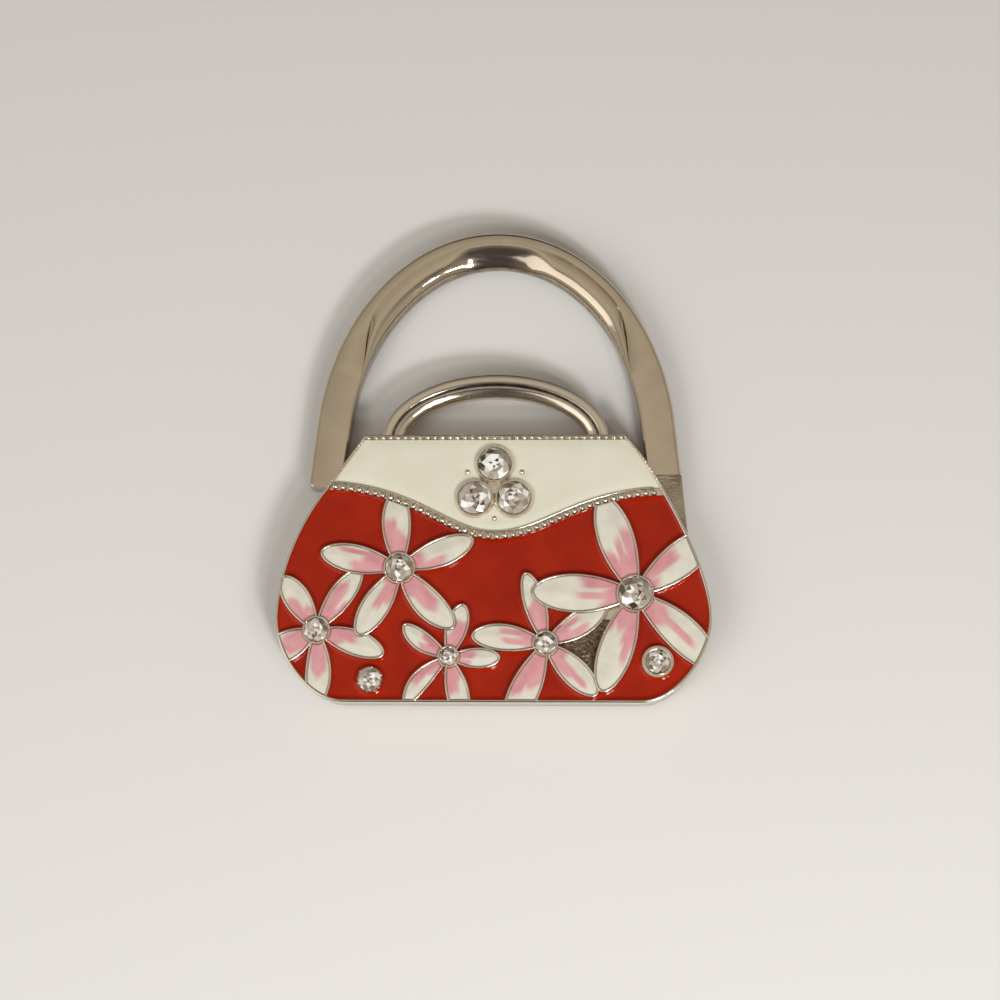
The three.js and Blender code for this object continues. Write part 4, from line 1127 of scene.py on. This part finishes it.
# Stones
def stone(name, x, y, radius, rise, glint_spots):
    """A round brilliant: table, star, main and girdle facets, and the pavilion's seen in the table, drawn as
    painted reflections on the table.
    """
    shape = Shape()
    turn = random.uniform(0, pi / 4)
    girdle, top = GIRDLE + 0.1 + rise, GIRDLE + 0.61 + rise

    def ring(share, count, z, jitter=0.0, offset=0.0):
        found = []
        for k in range(count):
            a = turn + (k + offset) * 2 * pi / count + random.uniform(-jitter, jitter) * pi / 8
            r = radius * share * (1 + random.uniform(-jitter, jitter) * 0.4)
            found.append((x + r * cos(a), y + r * sin(a), z + random.uniform(-jitter, jitter) * 0.05))
        return found

    # Spots where the facets are painted white as glints, random ones unless given.
    glint_spots = glint_spots or [(random.uniform(-0.6, 0.6), random.uniform(-0.6, 0.6), 0.17) for _ in range(3)]

    def facet(points, high=0.92):
        middle = np.mean([p[:2] for p in points], 0)
        # Each facet's tint is a painted reflection: a few dark, a few white as painted glints, the rest
        # grey.
        pick = random.random()
        tint = random.uniform(0.0, 0.25) if pick < 0.13 else 1.0 if pick > 0.9 else random.uniform(0.2, high)
        if any(dist(middle, (x + dx * radius, y + dy * radius)) < r * radius for dx, dy, r in glint_spots):
            tint = 1.0
        shape.add(points, [tuple(range(len(points)))], tint=tint)

    def nearest(ring, a, b):
        return min(ring, key=lambda p: dist(p, ((a[0] + b[0]) / 2, (a[1] + b[1]) / 2, top)))

    edges = ring(0.985, 16, girdle)
    middles = ring(0.8, 8, girdle + (top - girdle) * 0.5, 0.0, 0.5)
    tables = ring(0.58, 8, top)
    seen = ring(0.36, 8, top, 0.5, 0.5)
    core = ring(0.16, 5, top, 0.6)
    centre = (x + random.uniform(-0.06, 0.06) * radius, y + random.uniform(-0.06, 0.06) * radius, top)
    for k in range(8):
        after = (k + 1) % 8
        facet([tables[k], middles[k], tables[after]])
        facet([tables[k], middles[k - 1], edges[2 * k], middles[k]])
        facet([middles[k], edges[2 * k], edges[2 * k + 1]], 0.8)
        facet([middles[k], edges[2 * k + 1], edges[(2 * k + 2) % 16]], 0.8)
        facet([tables[k], tables[after], seen[k]])
        facet([tables[k], seen[k], seen[k - 1]])
    for outer, inner in ((seen, core), (core, [centre])):
        for a, b in zip(outer, outer[1:] + outer[:1]):
            facet([a, b, nearest(inner, a, b)])
    for a, b in zip(core, core[1:] + core[:1]):
        facet([b, a, nearest(seen, a, b)])
    # The girdle's sides and the underside are tinted dark: a painted shade ring round the stone.
    under = [(px, py, girdle - 0.1) for px, py, _ in edges]
    for k in range(16):
        shape.add([edges[k], under[k], under[k - 15], edges[k - 15]], [(0, 1, 2, 3)], tint=0.2)
        shape.add([under[k], (x, y, GIRDLE - 0.7 + rise), under[k - 15]], [(0, 1, 2)], tint=0.2)
    shape.settle(f"cut_{name}", "crystal", [crystal], name, flat=True)


# Pad
def pad():
    """The rubber pad with its rounded lower edge."""
    low, high = PAD_LOW / MM, PAD_HIGH / MM
    half_width = (high.y - low.y) / 2
    straight = (high.x - low.x) / 2 - half_width
    centre_y = (low.y + high.y) / 2 - DRAWING_Y
    points = []
    for side, start in ((1, -pi / 2), (-1, pi / 2)):
        for a in np.linspace(start, start + pi, 40):
            points.append((side * straight + half_width * cos(a), centre_y + half_width * sin(a)))
    shape = tray(Shape(), np.array(points), PAD_ROUNDING, low.z, high.z, 5)
    shape.settle("rubber_pad", "pad_rubber", [rubber], "base_pad")


def studio():
    """Pale floor, soft light and the camera at the photograph's angle."""
    scene = bpy.context.scene
    scene.view_settings.view_transform = "Standard"
    bpy.ops.mesh.primitive_plane_add(size=2 * FLOOR_HALF)
    floor = bpy.context.object
    floor.name = "floor"
    floor.data.materials.append(Surface("pale_floor", 0.7, Base_Color=FLOOR_COLOUR).material)

    scene.world = bpy.data.worlds.new("studio")
    sky = Tree(scene.world)
    split = sky.nodes.new("ShaderNodeSeparateXYZ")
    sky.links.new(sky.nodes.new("ShaderNodeTexCoord").outputs["Generated"], split.inputs[0])
    across = sky.spread(sky.maths("ABSOLUTE", split.outputs["X"]), 0.14, 0.7, 0.0, 0.8)
    high, behind = sky.spread(split.outputs["Z"], 0.74, 0.97), sky.spread(split.outputs["Y"], -0.3, -0.06)
    lit = sky.maths("MAXIMUM", sky.maths("MULTIPLY", high, behind), across)
    colour = sky.mixed(lit, WORLD_DARK, WORLD_LIT)
    sky.links.new(colour, sky.nodes["Background"].inputs["Color"])

    for name, place, power, size in LAMPS:
        light = bpy.data.lights.new(name, "AREA")
        light.energy = power
        light.size = size
        lamp = bpy.data.objects.new(name, light)
        lamp.location = CAMERA_TARGET + Vector(place)
        lamp.visible_glossy = name != "soft"
        lamp.rotation_mode = "QUATERNION"
        lamp.rotation_quaternion = Vector(place).to_track_quat("Z", "Y")
        scene.collection.objects.link(lamp)

    view = bpy.data.cameras.new("camera")
    view.lens = CAMERA_LENS
    view.clip_start, view.clip_end = 0.01, 10.0
    camera = bpy.data.objects.new("camera", view)
    scene.collection.objects.link(camera)
    back = Vector((tan(CAMERA_TILT_X), -tan(CAMERA_TILT_Y), 1)).normalized()
    right = Vector((0, 1, 0)).cross(back).normalized()
    turn = Matrix.Rotation(CAMERA_ROLL, 3, back)
    basis = Matrix((turn @ right, turn @ back.cross(right), back)).transposed().to_4x4()
    camera.matrix_world = Matrix.Translation(CAMERA_TARGET + back * CAMERA_DISTANCE) @ basis
    scene.camera = camera


swing_hook()
small_handle()
frame_casting()
face_casting()
enamel()
for name, x, y, radius, _, rise, _ in SETTINGS:
    stone(f"stone_{name}", x, y, radius, rise, FLAP_TOP_GLINT_SPOTS if name == "flap_top" else ())
pad()
for node in ("pivot_pin", "pivot_spring", "spring_washer", "pin_clip"):
    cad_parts[node].data.materials.clear()
    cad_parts[node].data.materials.append(steel)
studio()
